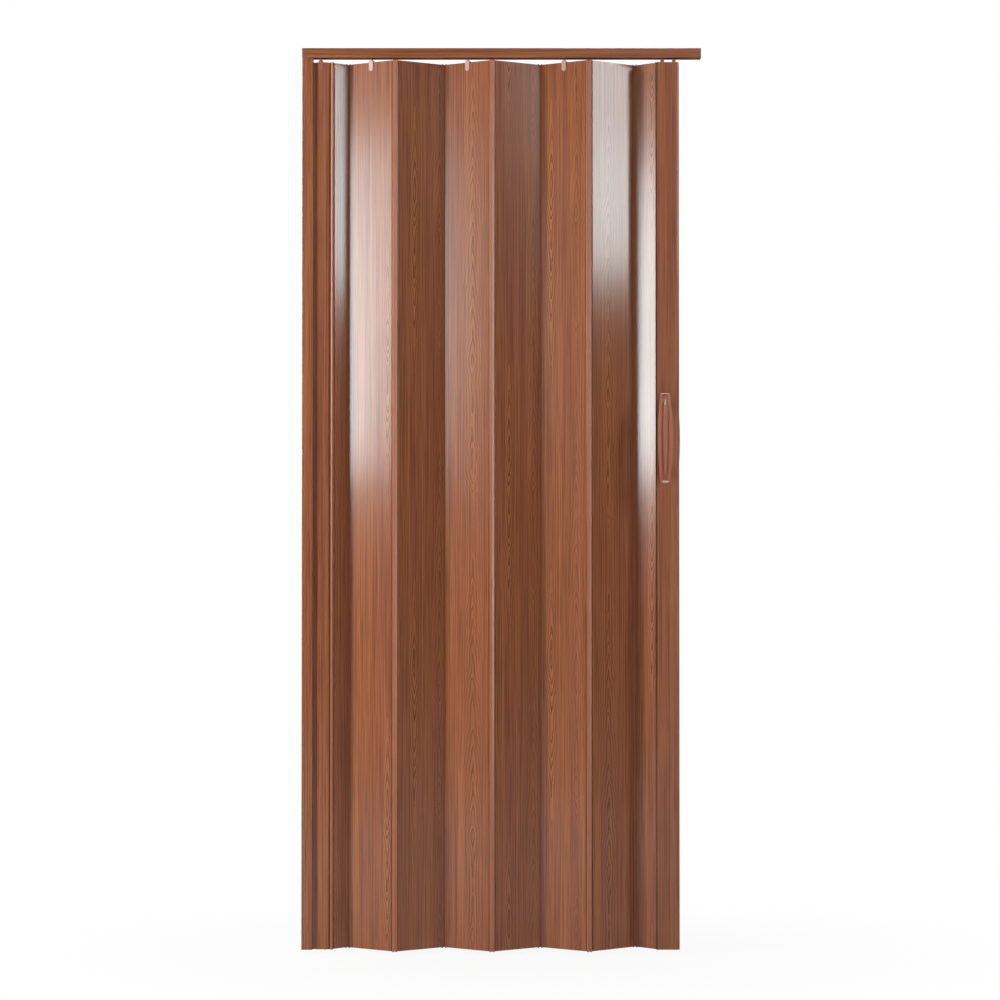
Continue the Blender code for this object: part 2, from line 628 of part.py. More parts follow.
def wheel_mesh():
    """A roller with a rounded tread, a dished side and a hub, on the Y axis, its hub end at the origin."""
    bore = AXLE_RADIUS + GAP
    near, far = HUB_BOSS, HUB_BOSS + WHEEL_WIDTH
    rim = WHEEL_RADIUS - WHEEL_RIM
    profile = [(bore, 0.0), (HUB_RADIUS, 0.0), (HUB_RADIUS, near)]
    profile += [(WHEEL_RADIUS - WHEEL_EDGE, near), (WHEEL_RADIUS, near + WHEEL_EDGE)]
    profile += [(WHEEL_RADIUS, far - WHEEL_EDGE), (WHEEL_RADIUS - WHEEL_EDGE, far), (rim, far)]
    profile += [(rim, far - WHEEL_RECESS), (HUB_RADIUS, far - WHEEL_RECESS), (HUB_RADIUS, far), (bore, far)]
    return along_y(turned_mesh("wheel", profile, WHEEL_SIDES, closed=True))


def axle_mesh():
    """The wheels' pin, with a head at each end."""
    shank = CARRIAGE_WIDTH / 2 + GAP + HUB_BOSS + WHEEL_WIDTH + GAP
    end = shank + AXLE_HEAD
    profile = [(0.0, end), (AXLE_HEAD_RADIUS, end), (AXLE_HEAD_RADIUS, shank), (AXLE_RADIUS, shank)]
    profile += [(AXLE_RADIUS, -shank), (AXLE_HEAD_RADIUS, -shank), (AXLE_HEAD_RADIUS, -end), (0.0, -end)]
    return along_y(turned_mesh("axle", profile, AXLE_SIDES))


def handle_reach(share):
    """How far the handle's outer face stands from the post, at a share of its half length."""
    return HANDLE_REACH - (HANDLE_REACH - HANDLE_END_REACH) * share ** 2


def handle_section(share):
    """The section of the handle's plate as (along, outward) points, narrower and lower towards the ends."""
    half = (HANDLE_WIDTH - (HANDLE_WIDTH - HANDLE_END_WIDTH) * share ** 2) / 2
    reach = handle_reach(share)
    open_here = abs(share) < HANDLE_RECESS_SHARE
    floor = reach - HANDLE_RECESS * open_here
    spine = floor + HANDLE_SPINE * open_here
    back = reach - HANDLE_PLATE
    side = [(half - HANDLE_EDGE, back), (half, back + HANDLE_EDGE), (half, reach - HANDLE_EDGE)]
    side += [(half - HANDLE_EDGE, reach), (half - HANDLE_RIM, reach), (half - HANDLE_RIM - HANDLE_SLOPE, floor)]
    side += [(HANDLE_SPINE_WIDTH / 2, floor), (0.0, spine)]
    return side + [(-x, y) for x, y in reversed(side[:-1])]


def handle_plate():
    """Loft the handle's sections into one closed plate."""
    shares = [-share for share in reversed(HANDLE_STATION_SHARES[1:])] + list(HANDLE_STATION_SHARES)
    shell = bmesh.new()
    rings = []
    for share in shares:
        ring = [shell.verts.new((x, y, share * HANDLE_LENGTH / 2)) for x, y in handle_section(share)]
        rings.append(ring)
    count = len(rings[0])
    for lower, upper in zip(rings, rings[1:]):
        for i in range(count):
            shell.faces.new((lower[i], lower[(i + 1) % count], upper[(i + 1) % count], upper[i]))
    shell.faces.new(rings[0])
    shell.faces.new(rings[-1])
    bmesh.ops.recalc_face_normals(shell, faces=shell.faces)
    bmesh.ops.triangulate(shell, faces=[rings_face for rings_face in shell.faces if len(rings_face.verts) > 4])
    mesh = bpy.data.meshes.new("handle")
    shell.to_mesh(mesh)
    shell.free()
    return mesh


def handle_foot(side):
    """One foot: a block, wider at the post, whose far end follows the plate that it carries."""
    mesh = block_mesh("foot", (1.0, 1.0, 1.0))
    for vertex in mesh.vertices:
        far = vertex.co.y > 0
        spread = 0.0 if far else FOOT_SPREAD
        height = side * FOOT_FROM_MIDDLE + math.copysign(FOOT_HEIGHT / 2 + spread, vertex.co.z)
        plate = handle_reach(2 * height / HANDLE_LENGTH) - HANDLE_PLATE + FOOT_SINK
        vertex.co.x = math.copysign(FOOT_WIDTH / 2 + spread, vertex.co.x)
        vertex.co.y = plate if far else GAP
        vertex.co.z = height
    return mesh


def handle_mesh(name, bore_from, bore_to):
    """A pull handle that stands out along +Y from the plane at zero, bored for its two screws."""
    mesh = combined_mesh(name, handle_plate(), [handle_foot(-1), handle_foot(1)], "UNION")
    places = [(0.0, 0.0, side * FOOT_FROM_MIDDLE) for side in (-1, 1)]
    tools = drills(places, SCREW_BORE_RADIUS, bore_from, bore_to, along_y)
    return combined_mesh(name, mesh, tools, "DIFFERENCE")


def screw_mesh(name, length):
    """A cross-head screw along Y: its head's seat at the origin, its dome towards +Y and its shank along -Y."""
    profile = [(SCREW_HEAD_RADIUS * across, SCREW_HEAD * up) for across, up in SCREW_DOME_SHARES]
    profile += [(SCREW_RADIUS, 0.0), (SCREW_RADIUS, -length + SCREW_RADIUS), (0.0, -length)]
    mesh = turned_mesh(name, profile, SCREW_SIDES)
    far, near = SLOT_LENGTH / 2, SLOT_WIDTH / 2
    tip = near * SLOT_TIP_SHARE
    arm = [(tip, -far), (near, -near), (far, -tip)]
    cross = []
    for _ in range(4):
        cross += arm
        arm = [(-y, x) for x, y in arm]
    recess = outline_mesh("cross", [cross], SCREW_HEAD - SLOT_DEPTH, SCREW_HEAD + OVERRUN)
    return along_y(combined_mesh(name, mesh, [recess], "DIFFERENCE"))


def facing_front(mesh):
    """Turn a mesh made towards +Y to face the viewer."""
    mesh.transform(Matrix.Rotation(math.pi, 4, "Z"))
    return mesh


def ride_on(piece, carrier):
    """Parent a piece to what carries it, without moving it."""
    bpy.context.view_layer.update()
    piece.parent = carrier
    piece.matrix_parent_inverse = carrier.matrix_world.inverted()
    return piece


HUNG_PANELS = ("panel_1", "panel_3", "panel_5")
HANG_PLACES = {}


def fold_plan():
    """Each piece of the zigzag in order, as (name, pitch, turn in radians).

    Panels lean to the track by their fold angle, and strips stay parallel to it. The two half panels
    lean by the angle that brings their far ends onto the line of the zigzag.
    """
    swing = PANEL_PITCH / 2 * math.sin(math.radians(FOLD_ANGLE))
    first = math.asin((swing - FIRST_AXIS_BACK) / FIRST_HALF_PITCH)
    last_fold = math.radians(LAST_FOLD_ANGLE)
    last = math.asin((PANEL_PITCH * math.sin(last_fold) - swing) / LAST_HALF_PITCH)
    plan = [("hinge_strip_1", WIDE_STRIP_PITCH, 0.0), ("half_panel_first", FIRST_HALF_PITCH, first)]
    for number in range(1, FULL_PANELS + 1):
        angle = last_fold if number == FULL_PANELS else math.radians(FOLD_ANGLE)
        turn = -angle if number % 2 else angle
        plan += [(f"hinge_strip_{number + 1}", STRIP_PITCH, 0.0), (f"panel_{number}", PANEL_PITCH, turn)]
    strip_number = FULL_PANELS + 2
    plan += [(f"hinge_strip_{strip_number}", STRIP_PITCH, 0.0), ("half_panel_last", LAST_HALF_PITCH, -last)]
    return plan


def make_chain(anchor):
    """Hang the strips and panels one on the other, from the starter panel to the lead post's axis."""
    mouth = (MOUTH_FRONT_ANGLE, MOUTH_BACK_ANGLE)
    starter_mouth = (STARTER_MOUTH_FRONT_ANGLE, STARTER_MOUTH_BACK_ANGLE)
    wide_mouth = (WIDE_MOUTH_FRONT_ANGLE, WIDE_MOUTH_BACK_ANGLE)
    ridge_strip = strip_mesh("ridge_strip", STRIP_PITCH, mouth, mouth, STRIP_BULGE)
    valley_strip = moved(facing_front(ridge_strip.copy()), STRIP_PITCH)
    wide = strip_mesh("wide_strip", WIDE_STRIP_PITCH, starter_mouth, wide_mouth, 0.0)
    full = panel_mesh("panel", PANEL_PITCH)
    pieces = {}
    spot = Vector((TRACK_START + FIRST_AXIS_ALONG, FIRST_AXIS_BACK, 0.0))
    carrier = anchor
    valley = False
    for name, pitch, turn in fold_plan():
        step = Vector((math.cos(turn), math.sin(turn), 0.0)) * pitch
        if name == "hinge_strip_1":
            piece = add_object(name, wide, STRIP_PLASTIC, spot)
        elif name.startswith("hinge_strip"):
            valley = not valley
            piece = add_object(name, valley_strip if valley else ridge_strip, STRIP_PLASTIC, spot)
        elif name.startswith("half_panel"):
            piece = add_object(name, panel_mesh(name, pitch), WOOD, spot, turn)
        else:
            piece = add_object(name, full, WOOD, spot, turn)
        ride_on(piece, carrier)
        pieces[name] = piece
        carrier = piece
        middle = spot + step / 2
        if name in HUNG_PANELS:
            HANG_PLACES[name] = (middle, turn)
        spot = spot + step
    return pieces, spot


def make_rollers(number, carriage, place):
    """An axle and two wheels on one carriage."""
    centre = Vector((place[0], place[1], AXLE_HEIGHT))
    ride_on(add_object(f"axle_{number}", AXLE, STEEL, centre), carriage)
    hub = CARRIAGE_WIDTH / 2 + GAP
    front = add_object(f"wheel_front_{number}", WHEEL, NYLON, centre - Vector((0.0, hub, 0.0)), math.pi)
    back = add_object(f"wheel_back_{number}", WHEEL, NYLON, centre + Vector((0.0, hub, 0.0)))
    for wheel in (front, back):
        ride_on(wheel, carriage)


def make_hangers(pieces, starter, post):
    """Clips and swivelling carriages on three panels, and two fixed carriages on the post."""
    clip = clip_mesh()
    place = (TRACK_START + STARTER_CLIP_ALONG, 0.0, 0.0)
    ride_on(add_object("starter_clip", clip, CLIP_PLASTIC, place), starter)
    swivel = carriage_mesh("carriage", False)
    number = 0
    for name in HUNG_PANELS:
        number += 1
        middle, turn = HANG_PLACES[name]
        hung = ride_on(add_object(f"hanger_clip_{number}", clip, CLIP_PLASTIC, middle, turn), pieces[name])
        carriage = ride_on(add_object(f"carriage_{number}", swivel, CLIP_PLASTIC, middle), hung)
        make_rollers(number, carriage, middle)
    fixed = carriage_mesh("post_carriage", True)
    for along in POST_STEM_PLACES:
        number += 1
        spot = post.location + Vector((along - POST_SOCKET_INSET, 0.0, 0.0))
        carriage = ride_on(add_object(f"carriage_{number}", fixed, CLIP_PLASTIC, spot), post)
        make_rollers(number, carriage, spot)


def make_lead_post(spot, carrier):
    """The post with its plugs, handles and handle screws, its origin on the last hinge axis."""
    left = spot - Vector((POST_SOCKET_INSET, 0.0, 0.0))
    mesh = moved(make_post(), -POST_SOCKET_INSET)
    post = ride_on(add_object("lead_post", mesh, WOOD, spot), carrier)
    for name, bored in (("post_plug_top", True), ("post_plug_bottom", False)):
        ride_on(add_object(name, make_plug(name, bored), CLIP_PLASTIC, left), post)
    face = POST_DEPTH / 2
    foot_reach = handle_reach(2 * FOOT_FROM_MIDDLE / HANDLE_LENGTH)
    front_mesh = facing_front(handle_mesh("handle_front", -OVERRUN, GAP + SCREW_BITE + GAP))
    front_spot = left + Vector((FRONT_HANDLE_ALONG, -face, HANDLE_MIDDLE))
    front = ride_on(add_object("handle_front", front_mesh, HANDLE_PLASTIC, front_spot), post)
    back_mesh = handle_mesh("handle_back", -OVERRUN, foot_reach + OVERRUN)
    back_spot = left + Vector((BACK_HANDLE_ALONG, face, HANDLE_MIDDLE))
    back = ride_on(add_object("handle_back", back_mesh, HANDLE_PLASTIC, back_spot), post)
    long_screw = screw_mesh("long_screw", POST_DEPTH + GAP + GAP + SCREW_BITE)
    short_seat = foot_reach - HANDLE_RECESS + HANDLE_SPINE + GAP
    short_screw = screw_mesh("short_screw", short_seat + POST_DEPTH / 2 - POST_WALL)
    for side, word in ((-1, "lower"), (1, "upper")):
        height = HANDLE_MIDDLE + side * FOOT_FROM_MIDDLE
        at_front = left + Vector((FRONT_HANDLE_ALONG, face + GAP, height))
        ride_on(add_object(f"screw_front_{word}", long_screw, STEEL, at_front), front)
        at_back = left + Vector((BACK_HANDLE_ALONG, face + short_seat, height))
        ride_on(add_object(f"screw_back_{word}", short_screw, STEEL, at_back), back)
    return post


WHEEL = wheel_mesh()
AXLE = axle_mesh()
TRACK = make_track()
ride_on(make_jamb(), TRACK)
STARTER = ride_on(make_starter(), TRACK)
ride_on(make_starter_block(), TRACK)
CHAIN, POST_AXIS = make_chain(STARTER)
POST = make_lead_post(POST_AXIS, CHAIN["half_panel_last"])
make_hangers(CHAIN, STARTER, POST)
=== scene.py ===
"""Accordion door: the finished look of its panels, strips, track, rollers and handles."""

import json
import math

import bpy
import numpy as np
from bpy.props import FloatProperty, FloatVectorProperty, PointerProperty
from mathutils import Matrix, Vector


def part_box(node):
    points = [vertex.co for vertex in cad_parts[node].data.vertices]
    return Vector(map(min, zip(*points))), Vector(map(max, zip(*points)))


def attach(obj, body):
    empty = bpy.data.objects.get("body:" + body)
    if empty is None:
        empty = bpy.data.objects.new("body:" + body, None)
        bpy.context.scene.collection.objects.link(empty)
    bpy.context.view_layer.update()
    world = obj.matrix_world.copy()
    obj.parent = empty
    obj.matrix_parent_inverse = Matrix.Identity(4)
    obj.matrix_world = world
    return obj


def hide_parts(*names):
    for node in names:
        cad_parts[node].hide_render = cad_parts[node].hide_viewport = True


bl_info = {
    "name": "Accordion Door",
    "version": (1, 0, 0),
    "blender": (4, 5, 0),
    "location": "3D View > Sidebar > Accordion Door",
    "description": "Dresses the packed model of a hollow-panel folding door and sets up its studio",
    "category": "Object",
}

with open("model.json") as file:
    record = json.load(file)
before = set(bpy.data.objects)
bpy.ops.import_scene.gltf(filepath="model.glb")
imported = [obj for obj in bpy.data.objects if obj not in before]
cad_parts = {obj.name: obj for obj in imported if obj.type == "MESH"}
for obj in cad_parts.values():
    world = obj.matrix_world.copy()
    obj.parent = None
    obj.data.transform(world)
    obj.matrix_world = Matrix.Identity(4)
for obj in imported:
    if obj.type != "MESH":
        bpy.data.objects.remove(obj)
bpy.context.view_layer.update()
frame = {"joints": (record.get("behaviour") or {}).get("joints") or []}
HINGES = {joint["child"]: np.array(joint["pos_m"]) for joint in frame["joints"]}
CHAIN = ["hinge_strip_1", "half_panel_first"]
for order in range(1, 7):
    CHAIN += [f"hinge_strip_{order + 1}", f"panel_{order}"]
CHAIN += ["hinge_strip_8", "half_panel_last", "lead_post"]

TRACK_LOW, TRACK_HIGH = (np.array(corner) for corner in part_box("top_track"))
PANEL_LOW, PANEL_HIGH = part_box("wall_jamb")[0].z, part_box("lead_post")[1].z
GAP = 0.0003  # between pieces that move on each other
HAIR = 1e-5  # keeps inner faces out of the plane of outer ones
SMALL_CORNER = 0.001  # rounding of the edges of the track, the jamb and the post
SHARP = 35.0  # edges that turn by more degrees than this shade as sharp


def length(name, default, description):
    """A size that the user may change."""
    return FloatProperty(name=name, description=description, default=default, min=0.0, unit="LENGTH",
                         precision=5)


def share(name, default, description):
    """A value between nothing and one."""
    return FloatProperty(name=name, description=description, default=default, min=0.0, max=1.0,
                         subtype="FACTOR")


def colour(name, default, description):
    """A colour in linear RGB."""
    return FloatVectorProperty(name=name, description=description, default=default, size=3, min=0.0, max=1.0,
                               subtype="COLOR")


class DoorSizes(bpy.types.PropertyGroup):
    """Sizes of the sections that are carried along the door."""

    thickness: length("Panel Thickness", 0.006, "Across both skins of a panel")
    wall: length("Panel Wall", 0.0007, "Thickness of one skin")
    end_wall: length("Panel End Wall", 0.0009, "Wall at the panel's edge")
    corner: length("Panel Corner", 0.0005, "Rounding of the panel's long edges")
    cell: length("Cell Pitch", 0.022, "Distance between the webs inside a panel")
    web: length("Web", 0.0008, "Thickness of a web inside a panel")
    bead: length("Bead Radius", 0.0017, "Radius of the round bead on a hinge axis")
    bead_out: length("Bead Overhang", 0.0020, "How far a bead stands out of the panel's ends")
    neck: length("Neck", 0.001, "Thickness of the neck between panel and bead")
    socket: length("Socket Radius", 0.002, "Inside of the socket round a bead")
    socket_outer: length("Socket Outside", 0.0025, "Outside of the socket round a bead")
    body_start: length("Panel Start", 0.0028, "From a hinge axis to the panel's edge")
    lip: length("Panel Lip", 0.0005, "How far a panel's lip reaches past its hinge axis, over the socket")
    lip_wall: length("Lip Wall", 0.0004, "Thickness of a lip")
    bulge: length("Strip Ridge", 0.00064, "How far a strip's face rises to the ridge between its sockets")
    strip_out: length("Strip Overhang", 0.0006, "How far a strip stands out of the panels' ends")
    jamb_wall: length("Jamb Wall", 0.0016, "Wall of the fixed channel")
    jamb_corner: length("Jamb Corner", 0.0015, "Rounding of the channel's wall side")
    jamb_slot: length("Jamb Slot", 0.008, "Opening that holds the starter panel")
    post_wall: length("Post Wall", 0.0014, "Wall of the lead post")
    post_corner: length("Post Corner", 0.006, "Rounding of the post's closing edge")
    track_wall: length("Track Wall", 0.0015, "Sides and lips of the track")
    track_slot: length("Track Slot", 0.0084, "Opening along the track's underside")
    hole: length("Fixing Hole Radius", 0.0023, "Screw holes in the track and the jamb")


class FittingSizes(bpy.types.PropertyGroup):
    """Sizes of the rollers, clips, handles and screws."""

    wheel: length("Wheel Radius", 0.007, "Radius over the tread")
    wheel_width: length("Wheel Width", 0.0037, "Width of the tread")
    hub: length("Hub Radius", 0.003, "Radius of the wheel's hub")
    axle: length("Axle Radius", 0.0012, "Radius of the pin through the wheels")
    block_length: length("Carriage Length", 0.020, "Length of the carriage block")
    block_width: length("Carriage Width", 0.0072, "Width of the carriage block")
    block_height: length("Carriage Height", 0.009, "Height of the carriage block")
    stem: length("Stem Radius", 0.0025, "Radius of the stem through the track's slot")
    pin: length("Pin Radius", 0.0016, "Radius of the pin in the clip")
    clip: length("Clip Width", 0.0104, "Width of a hanger clip")
    tongue: length("Clip Tongue", 0.019, "How far a clip reaches down the panel")
    clip_wall: length("Clip Wall", 0.0018, "Thickness of a clip's tongue")
    bridge: length("Clip Bridge", 0.0045, "Height of a clip above the panel")
    handle: length("Handle Length", 0.204, "From end to end")
    handle_width: length("Handle Width", 0.034, "At the middle")
    handle_end: length("Handle End Width", 0.021, "At the ends")
    reach: length("Handle Reach", 0.027, "From the post to the handle's face, at the middle")
    end_reach: length("Handle End Reach", 0.016, "From the post to the handle's face, at the ends")
    plate: length("Handle Plate", 0.0045, "Thickness of the handle's plate")
    rim: length("Handle Rim", 0.0075, "Width of the rim beside the recess, at the middle")
    rim_end: length("Handle Rim End", 0.0034, "Width of the rim beside the recess, at the ends")
    recess: length("Handle Recess", 0.0033, "Depth of the recess in the face")
    foot: length("Foot From Middle", 0.072, "From the handle's middle to each foot")
    screw: length("Screw Head Radius", 0.0031, "Radius of a handle screw's head")


class DoorColours(bpy.types.PropertyGroup):
    """Colours and gloss of the door's finishes."""

    wood: colour("Wood Ground", (0.350, 0.115, 0.058), "Reddish tone of the printed wood")
    wood_warm: colour("Wood Warm", (0.425, 0.152, 0.060), "Yellower tone that drifts through the print")
    wood_light: colour("Wood Light", (0.480, 0.180, 0.078), "Light wood between the figure's lines")
    wood_line: colour("Wood Line", (0.120, 0.038, 0.020), "Dark lines of the printed grain")
    # painted shade: this dark colour on the skins under the track's lips stands for the shade there, not for a
    # plastic of its own
    raw: colour("Raw Plastic", (0.110, 0.042, 0.024), "Unprinted plastic on the track's underside")
    strip: colour("Strip", (0.400, 0.148, 0.073), "Plain plastic of the hinge strips and the beads")
    clip: colour("Clip", (0.34, 0.130, 0.082), "Plain plastic of the starter's clip and the carriages")
    hanger: colour("Hanger", (0.58, 0.38, 0.32), "Paler plastic of the panels' hanger clips")
    handle: colour("Handle", (0.385, 0.122, 0.064), "Moulded plastic of the handles")
    nylon: colour("Nylon", (0.74, 0.73, 0.69), "Rollers")
    steel: colour("Steel", (0.62, 0.62, 0.63), "Bright zinc plate")
    gloss: share("Panel Roughness", 0.17, "How blurred a reflection is on the printed panels")
    repeat: length("Print Repeat", 1.07, "Distance after which the figure comes again along a panel")
    figure_gap: length("Figure Gap", 0.062, "Distance across between two columns of the figure")


class StudioSettings(bpy.types.PropertyGroup):
    """Camera, floor and light from all round."""

    lens: FloatProperty(name="Lens", description="Focal length", default=79.9, min=10.0, unit="CAMERA")
    pitch: FloatProperty(name="Camera Pitch", description="Upward tilt of the camera",
                         default=math.radians(0.747), unit="ROTATION")
    floor_drop: length("Floor Drop", 0.008, "From the floor to the door's lowest point")
    floor_size: length("Floor Size", 14.0, "Side of the square floor")
    ambient: share("Ambient", 0.55, "Light that comes from behind the door")
    front: share("Front Ambient", 0.01, "Light that comes from the dark side of the studio")


# ---------------------------------------------------------------- sections and surfaces


def arc(centre, radius, start, end, step=8.0):
    """Points at equal angles on a circle: centre plus radius times cosine and sine of the angle in degrees."""
    angle = np.radians(np.linspace(start, end, max(1, math.ceil(abs(end - start) / step)) + 1))
    return np.stack([centre[0] + radius * np.cos(angle), centre[1] + radius * np.sin(angle)], axis=1)


def joined(*runs):
    """One closed section from runs of points, without points that repeat the one before."""
    points = np.concatenate([np.atleast_2d(np.array(run, dtype=float)) for run in runs])
    return points[np.linalg.norm(points - np.roll(points, 1, axis=0), axis=1) > 1e-7]


def bend(x, y, radius, start, step=15.0):
    """A quarter circle from a start angle that rounds a corner at x and y; 180 is a left front corner's."""
    inward, deeper = 1 if start in (90, 180) else -1, 1 if start in (180, 270) else -1
    return arc((x + inward * radius, y + deeper * radius), radius, start, start + 90, step)


def rounded(left, right, front, back, corner, step=15.0):
    """A rectangle whose corners are quarter circles, run anticlockwise from its left front corner."""
    corners = (left, front, 180), (right, front, 270), (right, back, 0), (left, back, 90)
    return np.concatenate([bend(x, y, corner, start, step) for x, y, start in corners])


def eased(section, near=0.00012, long=0.0015):
    """A closed section with a point close to both ends of each long side, so that its flat sides shade flat.

    Each long side from a to b gets the points a + d and b - d, with d a short step along it.
    """
    side = np.roll(section, -1, axis=0) - section
    span = np.linalg.norm(side, axis=1)
    step = side / span[:, None] * near
    points = np.stack([section, section + step, section + side - step], axis=1)
    keep = np.stack([np.ones(len(span), bool), span > long, span > long], axis=1)
    return points[keep]


def shell_of(rings, closed_ends=True, closed_round=True):
    """A skin over rings of points, as points, corners and the number of corners of each face.

    Each ring is joined to the next by quads, and each end ring is closed by one face.
    """
    count, around = rings.shape[:2]
    row = np.arange(count - 1)[:, None] * around
    here = np.arange(around if closed_round else around - 1)[None, :]
    after = (here + 1) % around
    quads = np.stack([row + here, row + after, row + around + after, row + around + here], axis=-1)
    corners, sizes = quads.ravel(), np.full(quads.size // 4, 4)
    if closed_ends:
        corners = np.concatenate([corners, np.arange(around)[::-1], (count - 1) * around + np.arange(around)])
        sizes = np.concatenate([sizes, [around, around]])
    return rings.reshape(-1, 3), corners, sizes


def at_height(section, height):
    """A flat section's points at one height."""
    return np.column_stack([section, np.full(len(section), height)])


def carried_up(section, low, high, closed_ends=True, closed_round=True):
    """A flat section carried straight up from a low height to a high one."""
    return shell_of(np.array([at_height(section, low), at_height(section, high)]), closed_ends, closed_round)


def flat_ends(section, low, high):
    """A face that looks up over a section that is run anticlockwise, and one that looks down under it."""
    order, sizes = np.arange(len(section)), np.array([len(section)])
    return (at_height(section, high), order, sizes), (at_height(section, low), order[::-1], sizes)


def unrolled(section, low, high):
    """A closed section carried straight up, and how far round it each point lies.

    Its first point comes again at the end, so that a print wraps once round it without a jump.
    """
    closed = np.concatenate([section, section[:1]])
    around = np.concatenate([[0.0], np.cumsum(np.linalg.norm(np.diff(closed, axis=0), axis=1))])
    shell = merged(carried_up(closed, low, high, False, False), *flat_ends(section, low, high))
    return shell, np.concatenate([around, around, around[:-1], around[:-1]])


def turned_in(shell):
    """A shell of quads whose faces look the other way."""
    points, corners, sizes = shell
    return points, corners.reshape(-1, 4)[:, ::-1].ravel(), sizes


def tube(outer, inner, low, high):
    """A hollow bar: an outer skin, an inner skin facing the hollow, and a flat band at each end.

    A band is made of quads from each side of the outer section to the same side of the inner one.
    """
    count, both = len(outer), np.concatenate([outer, inner])
    here = np.arange(count)
    after = (here + 1) % count
    quads = np.stack([here, after, after + count, here + count], axis=1)
    bands = [(at_height(both, height), band.ravel(), np.full(count, 4))
             for height, band in ((high, quads), (low, quads[:, ::-1]))]
    return merged(carried_up(outer, low, high, False), turned_in(carried_up(inner, low, high, False)), *bands)


def bar(left, right, front, back, low=PANEL_LOW + HAIR, high=PANEL_HIGH - HAIR):
    """A box, as tall as the inside of the panels unless its heights are given."""
    return carried_up(np.array([(left, front), (right, front), (right, back), (left, back)]), low, high)


def carried_round(profile, angle):
    """Rings of points: each (radius, height) of a profile at each angle about Z."""
    radius, height = np.hsplit(np.array(profile, dtype=float), 2)
    return np.stack([radius * np.cos(angle), radius * np.sin(angle), height + 0.0 * angle], axis=-1)


def turned(profile, sides=24):
    """A surface of revolution about Z over a (radius, height) profile from bottom to top, with flat ends."""
    return shell_of(carried_round(profile, np.linspace(0, 2 * np.pi, sides, endpoint=False)))


def hoop(profile, sides=40):
    """A closed (radius, height) profile carried round Z, as for a wheel with a bore."""
    rings = carried_round(profile, np.linspace(0, 2 * np.pi, sides + 1)[::-1])
    return shell_of(rings.transpose(1, 0, 2), False)


def rounding(edge, end):
    """A quarter circle from an end face to a side: how far in its points lie, and how far along."""
    angle = np.linspace(0, np.pi / 2, 4)
    return np.column_stack([edge * (1 - np.sin(angle)), end - edge * (1 - np.cos(angle))])


def rounded_block(size, corner, edge, near=0.00015):
    """A block with round corners and edges: rounded rectangles, set in by a quarter circle towards each end."""
    x, y, z = np.array(size) / 2
    ends = np.concatenate([[(edge + near, z)], rounding(edge, z), [(0.0, z - edge - near)]])
    rings = []
    for inset, height in np.concatenate([ends * (1, -1), ends[::-1]]):
        section = rounded(inset - x, x - inset, inset - y, y - inset, max(corner - inset, 2e-5), 30)
        rings.append(at_height(eased(section, 0.00005, 0.0012), height))
    return shell_of(np.array(rings))


def merged(*shells):
    """Several shells as one."""
    starts = np.cumsum([0] + [len(shell[0]) for shell in shells[:-1]])
    return (np.concatenate([shell[0] for shell in shells]),
            np.concatenate([shell[1] + start for shell, start in zip(shells, starts)]),
            np.concatenate([shell[2] for shell in shells]))


def shifted(shell, x=0.0, y=0.0, z=0.0):
    """A shell moved by a distance."""
    return shell[0] + np.array([x, y, z]), *shell[1:]


def swung(shell, angle):
    """A shell turned about Z: x and y mixed by the angle's cosine and sine."""
    c, s = math.cos(angle), math.sin(angle)
    return shell[0] @ np.array([[c, s, 0.0], [-s, c, 0.0], [0.0, 0.0, 1.0]]), *shell[1:]


def laid_along_x(shell):
    """A shell made along Z laid along X: its x becomes Y, and its y becomes Z."""
    return shell[0][:, [2, 0, 1]], *shell[1:]


def laid_along_y(shell):
    """A shell made along Z laid along Y: its x is turned round and its y becomes Z."""
    return shell[0][:, [0, 2, 1]] * np.array([-1.0, 1.0, 1.0]), *shell[1:]


def mesh_of(name, shell, grain=None):
    """A mesh from a shell, its points that meet joined into one, with the print's places in its UV map."""
    points, corners, sizes = shell
    _, first, joined_to = np.unique(np.round(points * 1e7).astype(np.int64), axis=0, return_index=True,
                                    return_inverse=True)
    mesh = bpy.data.meshes.new(name)
    mesh.vertices.add(len(first))
    mesh.vertices.foreach_set("co", points[first].astype(np.float32).ravel())
    mesh.loops.add(len(corners))
    mesh.loops.foreach_set("vertex_index", joined_to.ravel()[corners].astype(np.int32))
    mesh.polygons.add(len(sizes))
    mesh.polygons.foreach_set("loop_start", (np.cumsum(sizes) - sizes).astype(np.int32))
    mesh.update(calc_edges=True)
    if grain is not None:
        layer = mesh.uv_layers.new(name="print")
        layer.data.foreach_set("uv", grain[corners].astype(np.float32).ravel())
    mesh.validate()
    return mesh


def placed(name, data):
    """A new object in the scene."""
    item = bpy.data.objects.new(name, data)
    bpy.context.scene.collection.objects.link(item)
    return item


def add_piece(name, shell, look, body, grain=None, smooth=SHARP):
    """Make one piece of the door from a shell, in its place, riding on its body in place of its CAD node.

    The piece is named after the node, with a dot and its own name behind. Grain holds, for each point, how far
    it lies across and along the printed grain, in metres.
    """
    mesh = mesh_of(name, shell, grain)
    slot, material = finish_of(look)
    mesh.materials.append(material)
    mesh.shade_smooth()
    mesh.set_sharp_from_angle(angle=math.radians(smooth))
    piece = placed(name, mesh)
    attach(piece, body)
    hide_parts(name.split(".")[0])
    return piece


